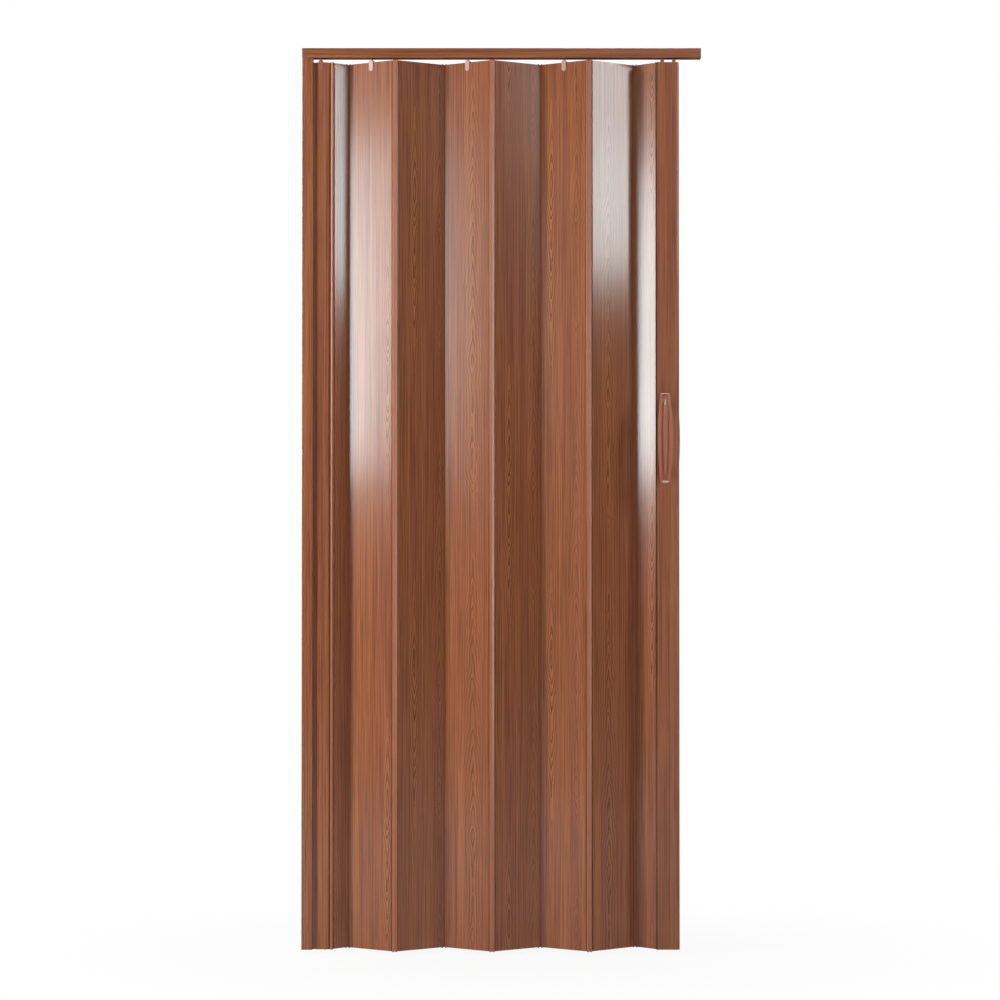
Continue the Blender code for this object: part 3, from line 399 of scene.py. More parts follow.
def drill(piece, rod, places):
    """Bore holes through a piece: a rod at each place, taken away by a Boolean."""
    cutter = placed("drill", mesh_of("drill", merged(*[shifted(rod, *place) for place in places])))
    boolean = piece.modifiers.new("holes", "BOOLEAN")
    boolean.operation, boolean.solver, boolean.object = "DIFFERENCE", "EXACT", cutter
    bpy.context.view_layer.update()
    graph = bpy.context.evaluated_depsgraph_get()
    whole, bored = piece.data, bpy.data.meshes.new_from_object(piece.evaluated_get(graph))
    piece.modifiers.clear()
    piece.data = bored
    bpy.data.objects.remove(cutter, do_unlink=True)
    bpy.data.meshes.remove(whole)
    bored.name = piece.name
    bored.set_sharp_from_angle(angle=math.radians(SHARP))


# ---------------------------------------------------------------- finishes


def maths(operation, swapped=False):
    """A method that works out a Math node from a value and another number, the number first where swapped."""

    def method(self, *others):
        terms = (*others, self) if swapped else (self, *others)
        return self.finish.node("Math", {"operation": operation}, dict(enumerate(terms)))

    return method


class Value:
    """A number that varies over a surface. Using it in an expression adds the Math nodes that work it out."""

    def __init__(self, finish, socket):
        self.finish, self.socket = finish, socket

    __add__ = __radd__ = maths("ADD")
    __mul__ = __rmul__ = maths("MULTIPLY")
    __sub__, __rsub__ = maths("SUBTRACT"), maths("SUBTRACT", True)
    __truediv__ = maths("DIVIDE")
    fraction, floor, root, power_of_e = maths("FRACT"), maths("FLOOR"), maths("SQRT"), maths("EXPONENT")

    def bell(self):
        """E to the minus square of the value: one at zero, falling off on both sides."""
        return (self * self * -1.0).power_of_e()

    def curve(self, points):
        """The value read off a smooth curve through points between nothing and one."""
        value = self.finish.node("FloatCurve", {}, {"Value": self})
        mapping = value.socket.node.mapping
        places = mapping.curves[0].points
        places[0].location, places[1].location = points[0], points[-1]
        for place in points[1:-1]:
            places.new(*place)
        mapping.update()
        return value

    def step(self, low, high, to_low=0.0, to_high=1.0):
        """A smooth rise from one value to another, as the input goes from low to high."""
        return self.finish.node("MapRange", {"interpolation_type": "SMOOTHSTEP"},
                                {"Value": self, "From Min": low, "From Max": high, "To Min": to_low,
                                 "To Max": to_high})


class Finish:
    """The nodes of a material or of the world."""

    def __init__(self, name, kind="materials"):
        self.owner = getattr(bpy.data, kind).new(name)
        self.owner.use_nodes = True
        self.tree = self.owner.node_tree
        self.tree.nodes.clear()

    def node(self, kind, settings, sockets, *outputs):
        """Add a node, set its settings, fill or link its sockets, and give its first output or those named."""
        node = self.tree.nodes.new("ShaderNode" + kind)
        for key, value in settings.items():
            setattr(node, key, value)
        for key, value in sockets.items():
            target = node.inputs[key]
            if isinstance(value, Value):
                self.tree.links.new(value.socket, target)
            else:
                target.default_value = (*value[:3], 1.0) if target.type == "RGBA" else value
        values = [Value(self, node.outputs[output]) for output in outputs or (0,)] if node.outputs else [None]
        return values[0] if len(values) == 1 else values

    def noise(self, place, scale, detail=2.0, roughness=0.5):
        """Smooth random values about one half."""
        return self.node("TexNoise", {}, {"Vector": place, "Scale": scale, "Detail": detail,
                                          "Roughness": roughness}, "Fac")

    def object_place(self):
        """Position on the piece, in metres."""
        return self.node("TexCoord", {}, {}, "Object")

    def blend(self, factor, first, second):
        """Mix two colours."""
        return self.node("Mix", {"data_type": "RGBA"}, {0: factor, 6: first, 7: second}, 2)

    def bump(self, height, strength, distance):
        """A normal from a height."""
        return self.node("Bump", {}, {"Height": height, "Strength": strength, "Distance": distance})

    def surface(self, sockets):
        """The material, with its shader and output."""
        self.node("OutputMaterial", {}, {"Surface": self.node("BsdfPrincipled", {}, sockets)})
        return self.owner

    def white_rays(self, place):
        """One for rays that have to see white: the camera's, and those that come off the door to behind it.

        Given with the share that lies behind the door, and with the place's X and Y.
        """
        camera, glossy, through = self.node("LightPath", {}, {}, "Is Camera Ray", "Is Glossy Ray",
                                            "Is Transmission Ray")
        across, depth = self.node("SeparateXYZ", {}, {"Vector": place}, "X", "Y")
        behind = depth.step(-0.1, 0.5)
        return camera + (glossy + through) * behind, behind, across, depth


# The height of a figure's rings, as shares of RINGS, at shares of the print's repeat down from its tip, and how
# strongly its lines show there: the first figure has a spire over an eye, nested cups and a long tail, the
# second arches down its whole length with two dark eyes. OTHER is the second one's column.
RINGS = 14.0
OTHER = 11
CUPS = [(0.0, 0.22), (0.11, 0.115), (0.16, 0.03), (0.182, 0.0), (0.205, 0.03), (0.278, 0.23), (0.33, 0.27),
        (0.40, 0.43), (0.495, 0.56), (0.67, 0.59), (0.80, 0.45), (1.0, 0.22)]
CUPS_SHOW = [(0.0, 0.7), (0.10, 0.9), (0.15, 1.0), (0.45, 1.0), (0.52, 0.75), (0.63, 0.4), (0.70, 0.0),
             (0.90, 0.0), (1.0, 0.7)]
ARCHES = [(0.0, 1.0), (0.07, 0.93), (0.20, 0.64), (0.35, 0.40), (0.55, 0.10), (0.575, 0.07), (0.60, 0.02),
          (0.63, 0.08), (0.77, 0.08), (0.808, 0.0), (0.85, 0.09), (1.0, 1.0)]
ARCHES_SHOW = [(0.0, 0.7), (0.06, 1.0), (0.86, 1.0), (0.91, 0.25), (0.96, 0.25), (1.0, 0.7)]
# Broad bands, streaks and dashes of the straight grain: how fast each noise changes across and along, its
# depth, detail and roughness, the values between which it sets in, and its share of the line colour
GRAIN = [(75.0, 0.7, 9.0, 2.0, 0.5, 0.40, 0.72, 0.24), (330.0, 2.2, 3.0, 3.0, 0.6, 0.42, 0.68, 0.56),
         (430.0, 8.0, 4.0, 2.0, 0.65, 0.44, 0.70, 0.40)]


def wood_print(name, colours):
    """Lacquered wood print: straight fine grain, and columns of a repeating figure.

    A figure's rings are the whole numbers of F = a * root(u * u + e) + h, with u across the column and h read
    off a curve down the print: where h climbs the rings close below as cups, where it falls above as arches.
    """
    finish = Finish(name)
    place = finish.node("UVMap", {"uv_map": "print"}, {})
    across, along = finish.node("SeparateXYZ", {}, {"Vector": place}, "X", "Y")

    def noise(by_across, by_along, depth=0.0, detail=2.0, roughness=0.5):
        """Noise over the print, with how fast it changes across and along."""
        vector = finish.node("CombineXYZ", {}, {"X": across * by_across, "Y": along * by_along, "Z": depth})
        return finish.noise(vector, 1.0, detail, roughness)

    def either(cups, arches):
        """Read off the first figure's curve in even columns and off the second one's in odd columns."""
        return turn.curve(cups) * (1.0 - arched) + turn.curve(arches) * arched

    wander, sway = noise(4.0, 3.1) - 0.5, noise(9.0, 17.0, 6.0) - 0.5
    ripple, uneven = noise(120.0, 34.0) - 0.5, noise(14.0, 16.0, 8.0) - 0.5
    spread = across / colours.figure_gap + 0.5
    cell = spread.floor()
    side = (spread - cell - 0.5) * colours.figure_gap + wander * 0.006 + sway * 0.004 + ripple * 0.0012
    arched = (cell * 0.5).fraction() * 2.0
    turn = (along / colours.repeat + cell * (4.0 / OTHER) + wander * 0.02).fraction()
    rings = ((side * side + 2.5e-6).root() * (190.0 - arched * 45.0) + either(CUPS, ARCHES) * RINGS
             + ripple * 0.6 + uneven * (arched * 0.8 + 1.5)).fraction()
    late = rings.step(0.36, 0.80) * (1.0 - rings.step(0.84, 1.0))
    broken = noise(160.0, 9.0, 2.0, 3.0, 0.6).step(0.25, 0.55, 0.25, 1.0)
    own = (cell / 0.6).bell() + ((cell - 1.0) / 0.6).bell() * 0.35 + ((cell - OTHER) / 0.6).bell() * 0.7
    near = (side / (arched * 0.009 + 0.0125)).bell() * own * either(CUPS_SHOW, ARCHES_SHOW)
    fine = noise(1400.0, 9.0, along * 0.7, 2.0, 0.6)
    drift = noise(46.0, 0.7, 7.0, 3.0)
    ground = finish.blend(drift.step(0.36, 0.64), colours.wood, colours.wood_warm)
    for *shape, low, high, darkening in GRAIN:
        ground = finish.blend(noise(*shape).step(low, high) * darkening, ground, colours.wood_line)
    ground = finish.blend(fine.step(0.45, 0.80) * 0.16, ground, colours.wood_line)
    ground = finish.blend(near * 0.35, ground, colours.wood_light)
    tone = finish.blend(late * broken * near * 0.80, ground, colours.wood_line)
    return finish.surface({"Base Color": tone, "Roughness": fine * 0.03 + (colours.gloss - 0.015),
                           "Specular IOR Level": 0.5, "Specular Tint": (0.82, 0.97, 1.0),
                           "Normal": finish.bump(fine, 0.05, 0.00003)})


def plain_plastic(name, tone, roughness, specular=0.45, mottle=0.40):
    """Extruded or moulded plastic: one tone with faint drifts and a fine orange-peel skin."""
    finish = Finish(name)
    place = finish.object_place()
    drift, peel = finish.noise(place, 22.0), finish.noise(place, 900.0)
    shade = finish.blend(drift.step(0.3, 0.75) * mottle, tone, [0.82 * part for part in tone])
    return finish.surface({"Base Color": shade, "Roughness": peel * 0.06 + (roughness - 0.03),
                           "Specular IOR Level": specular, "Normal": finish.bump(peel, 0.05, 0.00004)})


def bright_zinc(name, tone):
    """Zinc-plated steel: metal with turning marks and faint grey clouds."""
    finish = Finish(name)
    place = finish.object_place()
    cloud, marks = finish.noise(place, 260.0, 3.0), finish.noise(place, 2600.0)
    shade = finish.blend(cloud.step(0.3, 0.7) * 0.35, tone, [0.72 * part for part in tone])
    return finish.surface({"Base Color": shade, "Metallic": 1.0, "Roughness": marks * 0.14 + 0.20,
                           "Normal": finish.bump(marks, 0.08, 0.00004)})


def pale_floor():
    """A white floor: its camera rays see plain white with a trace of the shadow."""
    finish = Finish("pale_floor")
    white_rays, _, across, depth = finish.white_rays(finish.object_place())
    share_of_white = 1.0 - (across / 0.8).bell() * (depth / 0.45).bell() * 0.10
    matt = finish.node("BsdfDiffuse", {}, {"Color": (0.82, 0.82, 0.82)})
    white = finish.node("Emission", {}, {"Color": (1.0, 1.0, 1.0), "Strength": 1.0})
    mixed = finish.node("MixShader", {}, {0: white_rays * share_of_white, 1: matt, 2: white})
    finish.node("OutputMaterial", {}, {"Surface": mixed})
    return finish.owner


# The slot and the material's name of each look, and a plain plastic's roughness, specular level and mottle
# The look of the track's underside is painted shade: a dark colour for the shade under the track's lips
LOOKS = {"wood": ("wood_print", "wood_print"), "steel": ("zinc_steel", "zinc_plate"),
         "strip": ("strip_plastic", "strip_plastic", 0.23), "raw": ("wood_print", "raw_plastic", 0.55, 0.0),
         "clip": ("clip_plastic", "clip_plastic", 0.19), "hanger": ("clip_plastic", "hanger_plastic", 0.19),
         "handle": ("handle_plastic", "handle_plastic", 0.30),
         "nylon": ("nylon", "roller_nylon", 0.42, 0.4, 0.24)}


FINISHES = {}


def finish_of(look):
    """The slot of a look, and its material, which is made when it is first asked for."""
    slot, name, *values = LOOKS[look]
    colours = bpy.context.scene.accordion_door.colours
    if look not in FINISHES:
        if look == "wood":
            FINISHES[look] = wood_print(name, colours)
        elif look == "steel":
            FINISHES[look] = bright_zinc(name, colours.steel)
        else:
            FINISHES[look] = plain_plastic(name, getattr(colours, look), *values)
    return slot, FINISHES[look]


# ---------------------------------------------------------------- the door's pieces


def middle_of(node):
    """The middle of a CAD node's box."""
    low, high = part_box(node)
    return (low + high) / 2


def hinges_of(name):
    """The two hinge axes of a piece of the chain, their distance, and the angle from one to the other."""
    start, end = HINGES[name], HINGES[CHAIN[CHAIN.index(name) + 1]]
    x, y = (end - start)[:2]
    return start, end, math.hypot(x, y), math.atan2(y, x)


def hung(shell, name):
    """Turn a shell made along X and put it between its piece's two hinge axes."""
    start, _, _, turn = hinges_of(name)
    return shifted(swung(shell, turn), start[0], start[1])


def bead_shell(sizes, x, y=0.0):
    """The round bead on a hinge axis, with its ends bevelled."""
    low, high = PANEL_LOW - sizes.bead_out, PANEL_HIGH + sizes.bead_out
    radius, edge = sizes.bead, sizes.bead * 0.3
    bead = turned([(radius - edge, low), (radius, low + edge), (radius, high - edge), (radius - edge, high)])
    return shifted(bead, x, y)


def hollow_box(sizes, start, end, cells):
    """The shells of a flat tube with rounded edges and webs inside it."""
    half, wall, web = sizes.thickness / 2, sizes.wall, sizes.web / 2
    left, right = start + sizes.end_wall, end - sizes.end_wall
    outer = eased(rounded(start, end, -half, half, sizes.corner))
    inner = eased(rounded(left, right, -half + wall, half - wall, 0.0002))
    middles = left + (right - left) * np.arange(1, cells) / cells
    return [tube(outer, inner, PANEL_LOW, PANEL_HIGH),
            *[bar(middle - web, middle + web, -half + wall / 2, half - wall / 2) for middle in middles]]


def panel_shell(sizes, pitch, lips):
    """A panel between its two beads: a flat tube, and on each long edge a neck and a lip over the socket.

    Lips holds, for each edge, the side that its lip is on: -1 for the front, 1 for the back, 0 for none.
    """
    start, end, neck, overlap = sizes.body_start, pitch - sizes.body_start, sizes.neck / 2, 1e-4
    cells = 2 * math.ceil(((end - start - 2 * sizes.end_wall) / sizes.cell - 1) / 2) + 1
    shells = [*hollow_box(sizes, start, end, cells), bar(0.0, start + overlap, -neck, neck),
              bar(end - overlap, pitch, -neck, neck)]
    half, reach = sizes.thickness / 2 + HAIR, sizes.body_start + sizes.corner + 2 * overlap
    for side, left, right in ((lips[0], -sizes.lip, reach), (lips[1], pitch - reach, pitch + sizes.lip)):
        if side:
            front, back = sorted((side * half, side * (half - sizes.lip_wall)))
            lip = eased(rounded(left, right, front, back, sizes.lip_wall * 0.45, 30))
            shells.append(carried_up(lip, PANEL_LOW, PANEL_HIGH))
    return merged(*shells)


def strip_section(sizes, pitch, left_mouth, right_mouth, ridge):
    """Two sockets joined at the front by a face, whose points from right to left are places and rises.

    A mouth is given by the angles of its front and back edge, from the direction away from the strip.
    """
    left, right, outer, inner = (0.0, 0.0), (pitch, 0.0), sizes.socket_outer, sizes.socket
    return joined(arc(right, outer, right_mouth[0], -90), [(place, -outer - rise) for place, rise in ridge],
                  arc(left, outer, 270, 180 - left_mouth[0]),
                  arc(left, inner, 180 - left_mouth[0], 540 - left_mouth[1]),
                  arc(left, outer, 540 - left_mouth[1], 330), arc(right, outer, 210, right_mouth[1]),
                  arc(right, inner, right_mouth[1], 360 + right_mouth[0]))


# For each panel: where the figure's column lies across it, as a share of its width, the height of the figure's
# tip, and its column of the print: 0 holds the cups and OTHER the arches
FIGURES = {"half_panel_first": (-0.14, 1.52, OTHER), "panel_1": (0.88, 0.523, 0), "panel_2": (0.37, 1.901, 0),
           "panel_3": (0.62, 0.895, OTHER), "panel_4": (0.32, 1.316, 0), "panel_5": (0.22, 1.919, 0),
           "panel_6": (0.40, 0.816, OTHER), "half_panel_last": (0.75, 1.124, 0)}
BACK_PRINT = 0.33  # how much further along the print a panel's back skin is
# Where the other printed pieces lie on the print, across and along
PRINT_AT = {"top_track": (0.09, 0.3), "wall_jamb": (0.05, 0.31), "starter_panel": (0.30, 0.83),
            "lead_post": (0.323, -0.55)}
BACK_FOLD = 0.01  # a strip whose axis lies further back than this has its sockets open to the front


class DOOR_OT_panels(bpy.types.Operator):
    """Make the hollow panels with their beads, and print the wood on them"""

    bl_idname = "accordion_door.panels"
    bl_label = "Panels"

    def execute(self, context):
        settings = context.scene.accordion_door
        sizes = settings.sizes
        for name, (place, tip, column) in FIGURES.items():
            start, end, pitch, _ = hinges_of(name)
            lips = [-1 if axis[1] > 0 else 1 for axis in (start, end)]
            if name.startswith("half"):
                lips[name.endswith("last")] = 0
            shell = panel_shell(sizes, pitch, lips)
            x, y, z = shell[0].T
            grain = np.column_stack([x - pitch * place + column * settings.colours.figure_gap,
                                     tip - z + BACK_PRINT * (y > 0)])
            add_piece(name + ".skin", hung(shell, name), "wood", name, grain)
            beads = merged(bead_shell(sizes, 0.0), bead_shell(sizes, pitch))
            add_piece(name + ".beads", hung(beads, name), "strip", name)
        return {"FINISHED"}


class DOOR_OT_strips(bpy.types.Operator):
    """Make the hinge strips whose sockets hold the panels' beads"""

    bl_idname = "accordion_door.strips"
    bl_label = "Hinge Strips"

    def execute(self, context):
        sizes = context.scene.accordion_door.sizes
        for name in CHAIN:
            if not name.startswith("hinge_strip"):
                continue
            start, _, pitch, _ = hinges_of(name)
            mouths, ridge = [(-5.0, 112.0), (-5.0, 112.0)], [(pitch / 2, sizes.bulge)]
            if name == "hinge_strip_1":
                # the wide strip, with a facet that faces right beside its second socket
                mouths = [(-36.0, 110.0), (-19.0, 63.0)]
                ridge = [(pitch - 0.0005, 0.0), (pitch - 0.0005, 0.0048), (pitch - 0.0072, 0.0)]
            section = eased(strip_section(sizes, pitch, *mouths, ridge))[::-1]
            if start[1] > BACK_FOLD:
                section = np.array([pitch, 0.0]) - section
            shell = carried_up(section, PANEL_LOW - sizes.strip_out, PANEL_HIGH + sizes.strip_out)
            add_piece(name + ".strip", hung(shell, name), "strip", name)
        return {"FINISHED"}


class DOOR_OT_fixed(bpy.types.Operator):
    """Make the track, the wall jamb and the starter panel"""

    bl_idname = "accordion_door.fixed"
    bl_label = "Track and Jamb"

    def execute(self, context):
        sizes = context.scene.accordion_door.sizes
        rod = turned([(sizes.hole, -0.004), (sizes.hole, 0.004)], 28)
        self.track(sizes, rod)
        self.jamb(sizes, rod)
        self.starter(sizes)
        return {"FINISHED"}

    def track(self, sizes, rod):
        """The channel: a square arch along X with lips on its underside, and dark skins under them as painted
        shade.
        """
        (left, front, low), (right, back, high) = TRACK_LOW, TRACK_HIGH
        wall, slot, web = sizes.track_wall, sizes.track_slot / 2, 0.0016
        inside = [(-slot, low), (-slot, low + wall), (front + wall, low + wall), (front + wall, high - web),
                  (back - wall, high - web), (back - wall, low + wall), (slot, low + wall), (slot, low)]
        outside = rounded(front, back, low, high, SMALL_CORNER)
        section = joined(inside, np.roll(outside, -len(outside) // 4, axis=0))
        shell, around = unrolled(eased(section), left, right)
        shell = laid_along_x(shell)
        grain = np.column_stack([around, shell[0][:, 0]]) + PRINT_AT["top_track"]
        track = add_piece("top_track.channel", shell, "wood", "frame", grain)
        drill(track, rod, [(left + (right - left) * part, 0.0, high) for part in (0.06, 0.36, 0.64, 0.94)])
        # Thin skins under the lips in a dark colour: painted shade on the track's underside
        skin, inset = 0.00008, 0.0006
        lips = [bar(left, right, *sides, low - skin, low + inset)
                for sides in ((front + inset, -slot - skin), (slot + skin, back - inset))]
        add_piece("top_track.underside", merged(*lips), "raw", "frame")

    def jamb(self, sizes, rod):
        """The fixed channel at the wall: a box section with a slot that faces the door."""
        low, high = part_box("wall_jamb")
        left, right, half = low.x, high.x, (high.y - low.y) / 2
        wall, slot = sizes.jamb_wall, sizes.jamb_slot / 2
        inner, lip = half - wall, right - wall
        section = joined(bend(left, half, sizes.jamb_corner, 90, 8),
                         bend(left, -half, sizes.jamb_corner, 180, 8), bend(right, -half, SMALL_CORNER, 270),
                         [(right, -slot), (lip, -slot), (lip, -inner), (left + wall, -inner),
                          (left + wall, inner), (lip, inner), (lip, slot), (right, slot)],
                         bend(right, half, SMALL_CORNER, 0))
        shell, around = unrolled(eased(section), low.z, high.z)
        grain = np.column_stack([around, shell[0][:, 2]]) + PRINT_AT["wall_jamb"]
        jamb = add_piece("wall_jamb.channel", shell, "wood", "frame", grain)
        places = [(left, 0.0, low.z + (high.z - low.z) * part) for part in (0.05, 0.35, 0.65, 0.95)]
        drill(jamb, laid_along_x(rod), places)

    def starter(self, sizes):
        """The fixed half width: a tee in the jamb, a flat tube, a thin flange and the first bead."""
        half, neck, overlap = sizes.thickness / 2, sizes.neck / 2, 1e-4
        axis, back = HINGES["hinge_strip_1"][:2]
        face, flange_end = TRACK_LOW[0] + 0.0326, TRACK_LOW[0] + 0.0608
        end = axis - sizes.socket_outer - GAP
        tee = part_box("wall_jamb")[1].x - sizes.jamb_wall - GAP
        tee_wall, tee_half, tail_half = 0.002, 0.0055, 0.0015
        flange_wall, flange_overlap, end_wall = 0.0012, 0.0030, 0.0020
        flange = rounded(end - flange_overlap, flange_end, -half, -half + flange_wall, corner=0.0004)
        shell = merged(*hollow_box(sizes, face, end - end_wall + overlap, 1),
                       bar(tee - tee_wall, tee, -tee_half, tee_half, PANEL_LOW, PANEL_HIGH),
                       bar(tee - overlap, face + 2 * overlap, -tail_half, tail_half),
                       carried_up(flange, PANEL_LOW, PANEL_HIGH),
                       bar(end - end_wall, end, -half + 0.0002, back + neck + 0.0005),
                       bar(end - overlap, axis, back - neck, back + neck), bead_shell(sizes, axis, back))
        grain = shell[0][:, [0, 2]] + PRINT_AT["starter_panel"]
        add_piece("starter_panel.skin", shell, "wood", "frame", grain)


class DOOR_OT_post(bpy.types.Operator):
    """Make the lead post with the plugs in its ends"""

    bl_idname = "accordion_door.post"
    bl_label = "Lead Post"

    def execute(self, context):
        sizes = context.scene.accordion_door.sizes
        low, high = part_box("lead_post")
        left, right, half = low.x, high.x, (high.y - low.y) / 2
        axis, outer, inner = HINGES["lead_post"][:2], sizes.socket_outer, sizes.socket
        wall, corner = sizes.post_wall, sizes.post_corner
        nose_back, rebate = -half + 0.0062, axis[0] + 0.0034
        cut = rebate + SMALL_CORNER
        groove, groove_end, groove_floor = left + 0.0007, left + 0.0030, -half + 0.0045
        nose = joined([(cut, -half + wall), (cut, half - wall), (cut, half)],
                      bend(rebate, half, SMALL_CORNER, 90),
                      [(rebate, outer * math.sin(math.radians(110.0)))], arc(axis, outer, 70, 70),
                      arc(axis, inner, 70, -183), arc(axis, outer, 177,
                                                      180 - math.degrees(math.asin(nose_back / outer))),
                      [(left, nose_back)], bend(left, -half, 0.0004, 180, 30),
                      [(groove, -half), (groove, groove_floor), (groove_end, groove_floor),
                       (groove_end, -half), (cut, -half)])
        front, rear, front_in, rear_in = (
            arc((right - corner, side * (half - corner)), radius, start, start + 90, 6)
            for radius in (corner, corner - wall) for side, start in ((-1, 270), (1, 0)))
        hollow = [(cut, half - wall)], rear_in[::-1], front_in[::-1], [(cut, -half + wall)]
        cell, outline = eased(joined(*hollow)[::-1]), eased(joined(nose[2:], front, rear))
        walls = eased(joined([(cut, -half)], front, rear, [(cut, half)], *hollow))
        shell = merged(carried_up(outline, low.z, high.z, False),
                       turned_in(carried_up(cell, low.z, high.z, False)),
                       *flat_ends(eased(nose), low.z, high.z), *flat_ends(walls, low.z, high.z))
        grain = shell[0][:, [0, 2]] - (left, 0.0) + PRINT_AT["lead_post"]
        add_piece("lead_post.tube", shell, "wood", "lead_post", grain)
        for name in ("post_plug_top", "post_plug_bottom"):
            low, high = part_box(name)
            block = rounded_block(high - low, corner=0.0045, edge=0.0003)
            add_piece(name + ".block", shifted(block, *middle_of(name)), "clip", "lead_post")
        return {"FINISHED"}


class DOOR_OT_hangers(bpy.types.Operator):
    """Make the hanger clips, the carriages with their stems, the rollers and the axles"""

    bl_idname = "accordion_door.hangers"
    bl_label = "Clips and Rollers"
    from_hub = 0.0007  # from a wheel's hub face to its tread

    def execute(self, context):
        fit = context.scene.accordion_door.fittings
        clips = {"starter_clip": "frame", "hanger_clip_1": "panel_1", "hanger_clip_2": "panel_3",
                 "hanger_clip_3": "panel_5"}
        for name, body in clips.items():
            middle = middle_of(name)
            look, turn = ("clip", 0.0) if body == "frame" else ("hanger", hinges_of(body)[3])
            add_piece(name + ".clip", shifted(swung(self.clip(fit), turn), middle.x, middle.y), look, body)
        for number in range(1, 6):
            self.carriage(fit, number)
        self.starter_block(fit)
        return {"FINISHED"}

    def clip(self, fit):
        """Two tongues with round lower ends, one on each face, and a bridge over the panel's edge."""
        inner, half, shoulder, edge = 0.0033, fit.clip / 2, 0.0024, 0.0005
        outer, low, top = inner + fit.clip_wall, PANEL_HIGH - fit.tongue, PANEL_HIGH + fit.bridge
        rings = []
        for inset, y in [(0.0, inner), *rounding(edge, outer)[::-1], (edge + GAP, outer)]:
            side, upper, corner = half - inset, top - inset, shoulder - inset
            outline = np.concatenate([arc((0.0, low + half), side, 180, 360, 12), bend(side, upper, corner, 0),
                                      bend(-side, upper, corner, 90)])
            thinner = (top - outline[:, 1]) * 0.052 * (y - inner) / fit.clip_wall
            rings.append(np.column_stack([outline[:, 0], thinner - y, outline[:, 1]]))
        front = shell_of(np.array(rings))
        side, overlap = half - 2 * GAP, 1e-4
        bridge = bar(-side, side, -inner - overlap, inner + overlap, PANEL_HIGH + GAP, top - 2 * GAP)
        return merged(front, swung(front, math.pi), bridge)

    def block(self, fit, width, middle, on_post):
        """A carriage's block with its middle at a height, on its stem."""
        block = rounded_block((fit.block_length, width, fit.block_height), corner=0.0012, edge=0.0009)
        return merged(shifted(block, z=middle), self.stem(fit, middle, on_post))

    def carriage(self, fit, number):
        """A block on a stem, between two rollers on one axle."""
        x, y, z = middle_of(f"axle_{number}")
        name, on_post = f"carriage_{number}", number > 3
        body = "lead_post" if on_post else name
        add_piece(name + ".block", shifted(self.block(fit, fit.block_width, z, on_post), x, y), "clip", body)
        hub = fit.block_width / 2 + GAP
        reach = hub + self.from_hub + fit.wheel_width + GAP
        head, end, bevel = 0.0022, reach + 0.0005, 0.0002
        half = [(fit.axle, reach), (head, reach), (head, end - bevel), (head * 0.7, end)]
        pin = turned([(radius, -height) for radius, height in half[::-1]] + half)
        add_piece(f"axle_{number}.pin", shifted(laid_along_y(pin), x, y, z), "steel", body)
        wheel = laid_along_y(self.wheel(fit))
        for side, out, turn in (("front", -hub, math.pi), ("back", hub, 0.0)):
            node = f"wheel_{side}_{number}"
            add_piece(node + ".roller", shifted(swung(wheel, turn), x, y + out, z), "nylon", node)

    def stem(self, fit, top, on_post):
        """The stem through the slot: radii at heights, carried round its axis."""
        if on_post:
            seat, foot, collar = PANEL_HIGH + GAP, PANEL_HIGH - 0.012, TRACK_LOW[2] - 0.001
            flange, bevel = 0.0042, 0.0004
            return turned([(fit.pin - bevel, foot), (fit.pin, foot + bevel), (fit.pin, seat),
                           (flange - GAP, seat), (flange, seat + GAP), (flange, collar - GAP),
                           (flange - GAP, collar), (fit.stem, collar), (fit.stem, top)])
        seat, head = PANEL_HIGH + fit.bridge + GAP, PANEL_HIGH - 0.006
        return turned([(fit.pin, head - 0.0015), (0.002, head - 0.0005), (fit.pin, head), (fit.pin, seat),
                       (fit.stem - GAP, seat), (fit.stem, seat + GAP), (fit.stem, top)])

    def wheel(self, fit):
        """A roller: a rim with a rounded tread, a dished web and a hub, carried round the axle."""
        near, far = self.from_hub, self.from_hub + fit.wheel_width
        bore, hub, rim, edge, dish = fit.axle + GAP, fit.hub, fit.wheel - 0.0018, 0.0006, far - 0.0006
        tread = arc((fit.wheel - edge, near + edge), edge, -90, 0, 30)
        tread = np.concatenate([tread, np.column_stack([tread[::-1, 0], near + far - tread[::-1, 1]])])
        return hoop(np.concatenate([
            [(bore, 0.0), (hub, 0.0), (hub, near)], tread,
            [(rim, far), (rim - 0.0002, dish), (hub + 0.0002, dish), (hub, far), (bore, far)]]))

    def starter_block(self, fit):
        """The shoe that stands still in the track above the starter panel."""
        width, over_track = 0.0178, 0.0018
        centre = TRACK_LOW[2] + over_track + fit.block_height / 2
        shell = self.block(fit, width, centre, False)
        add_piece("starter_block.shoe", shifted(shell, middle_of("starter_block").x), "clip", "frame")


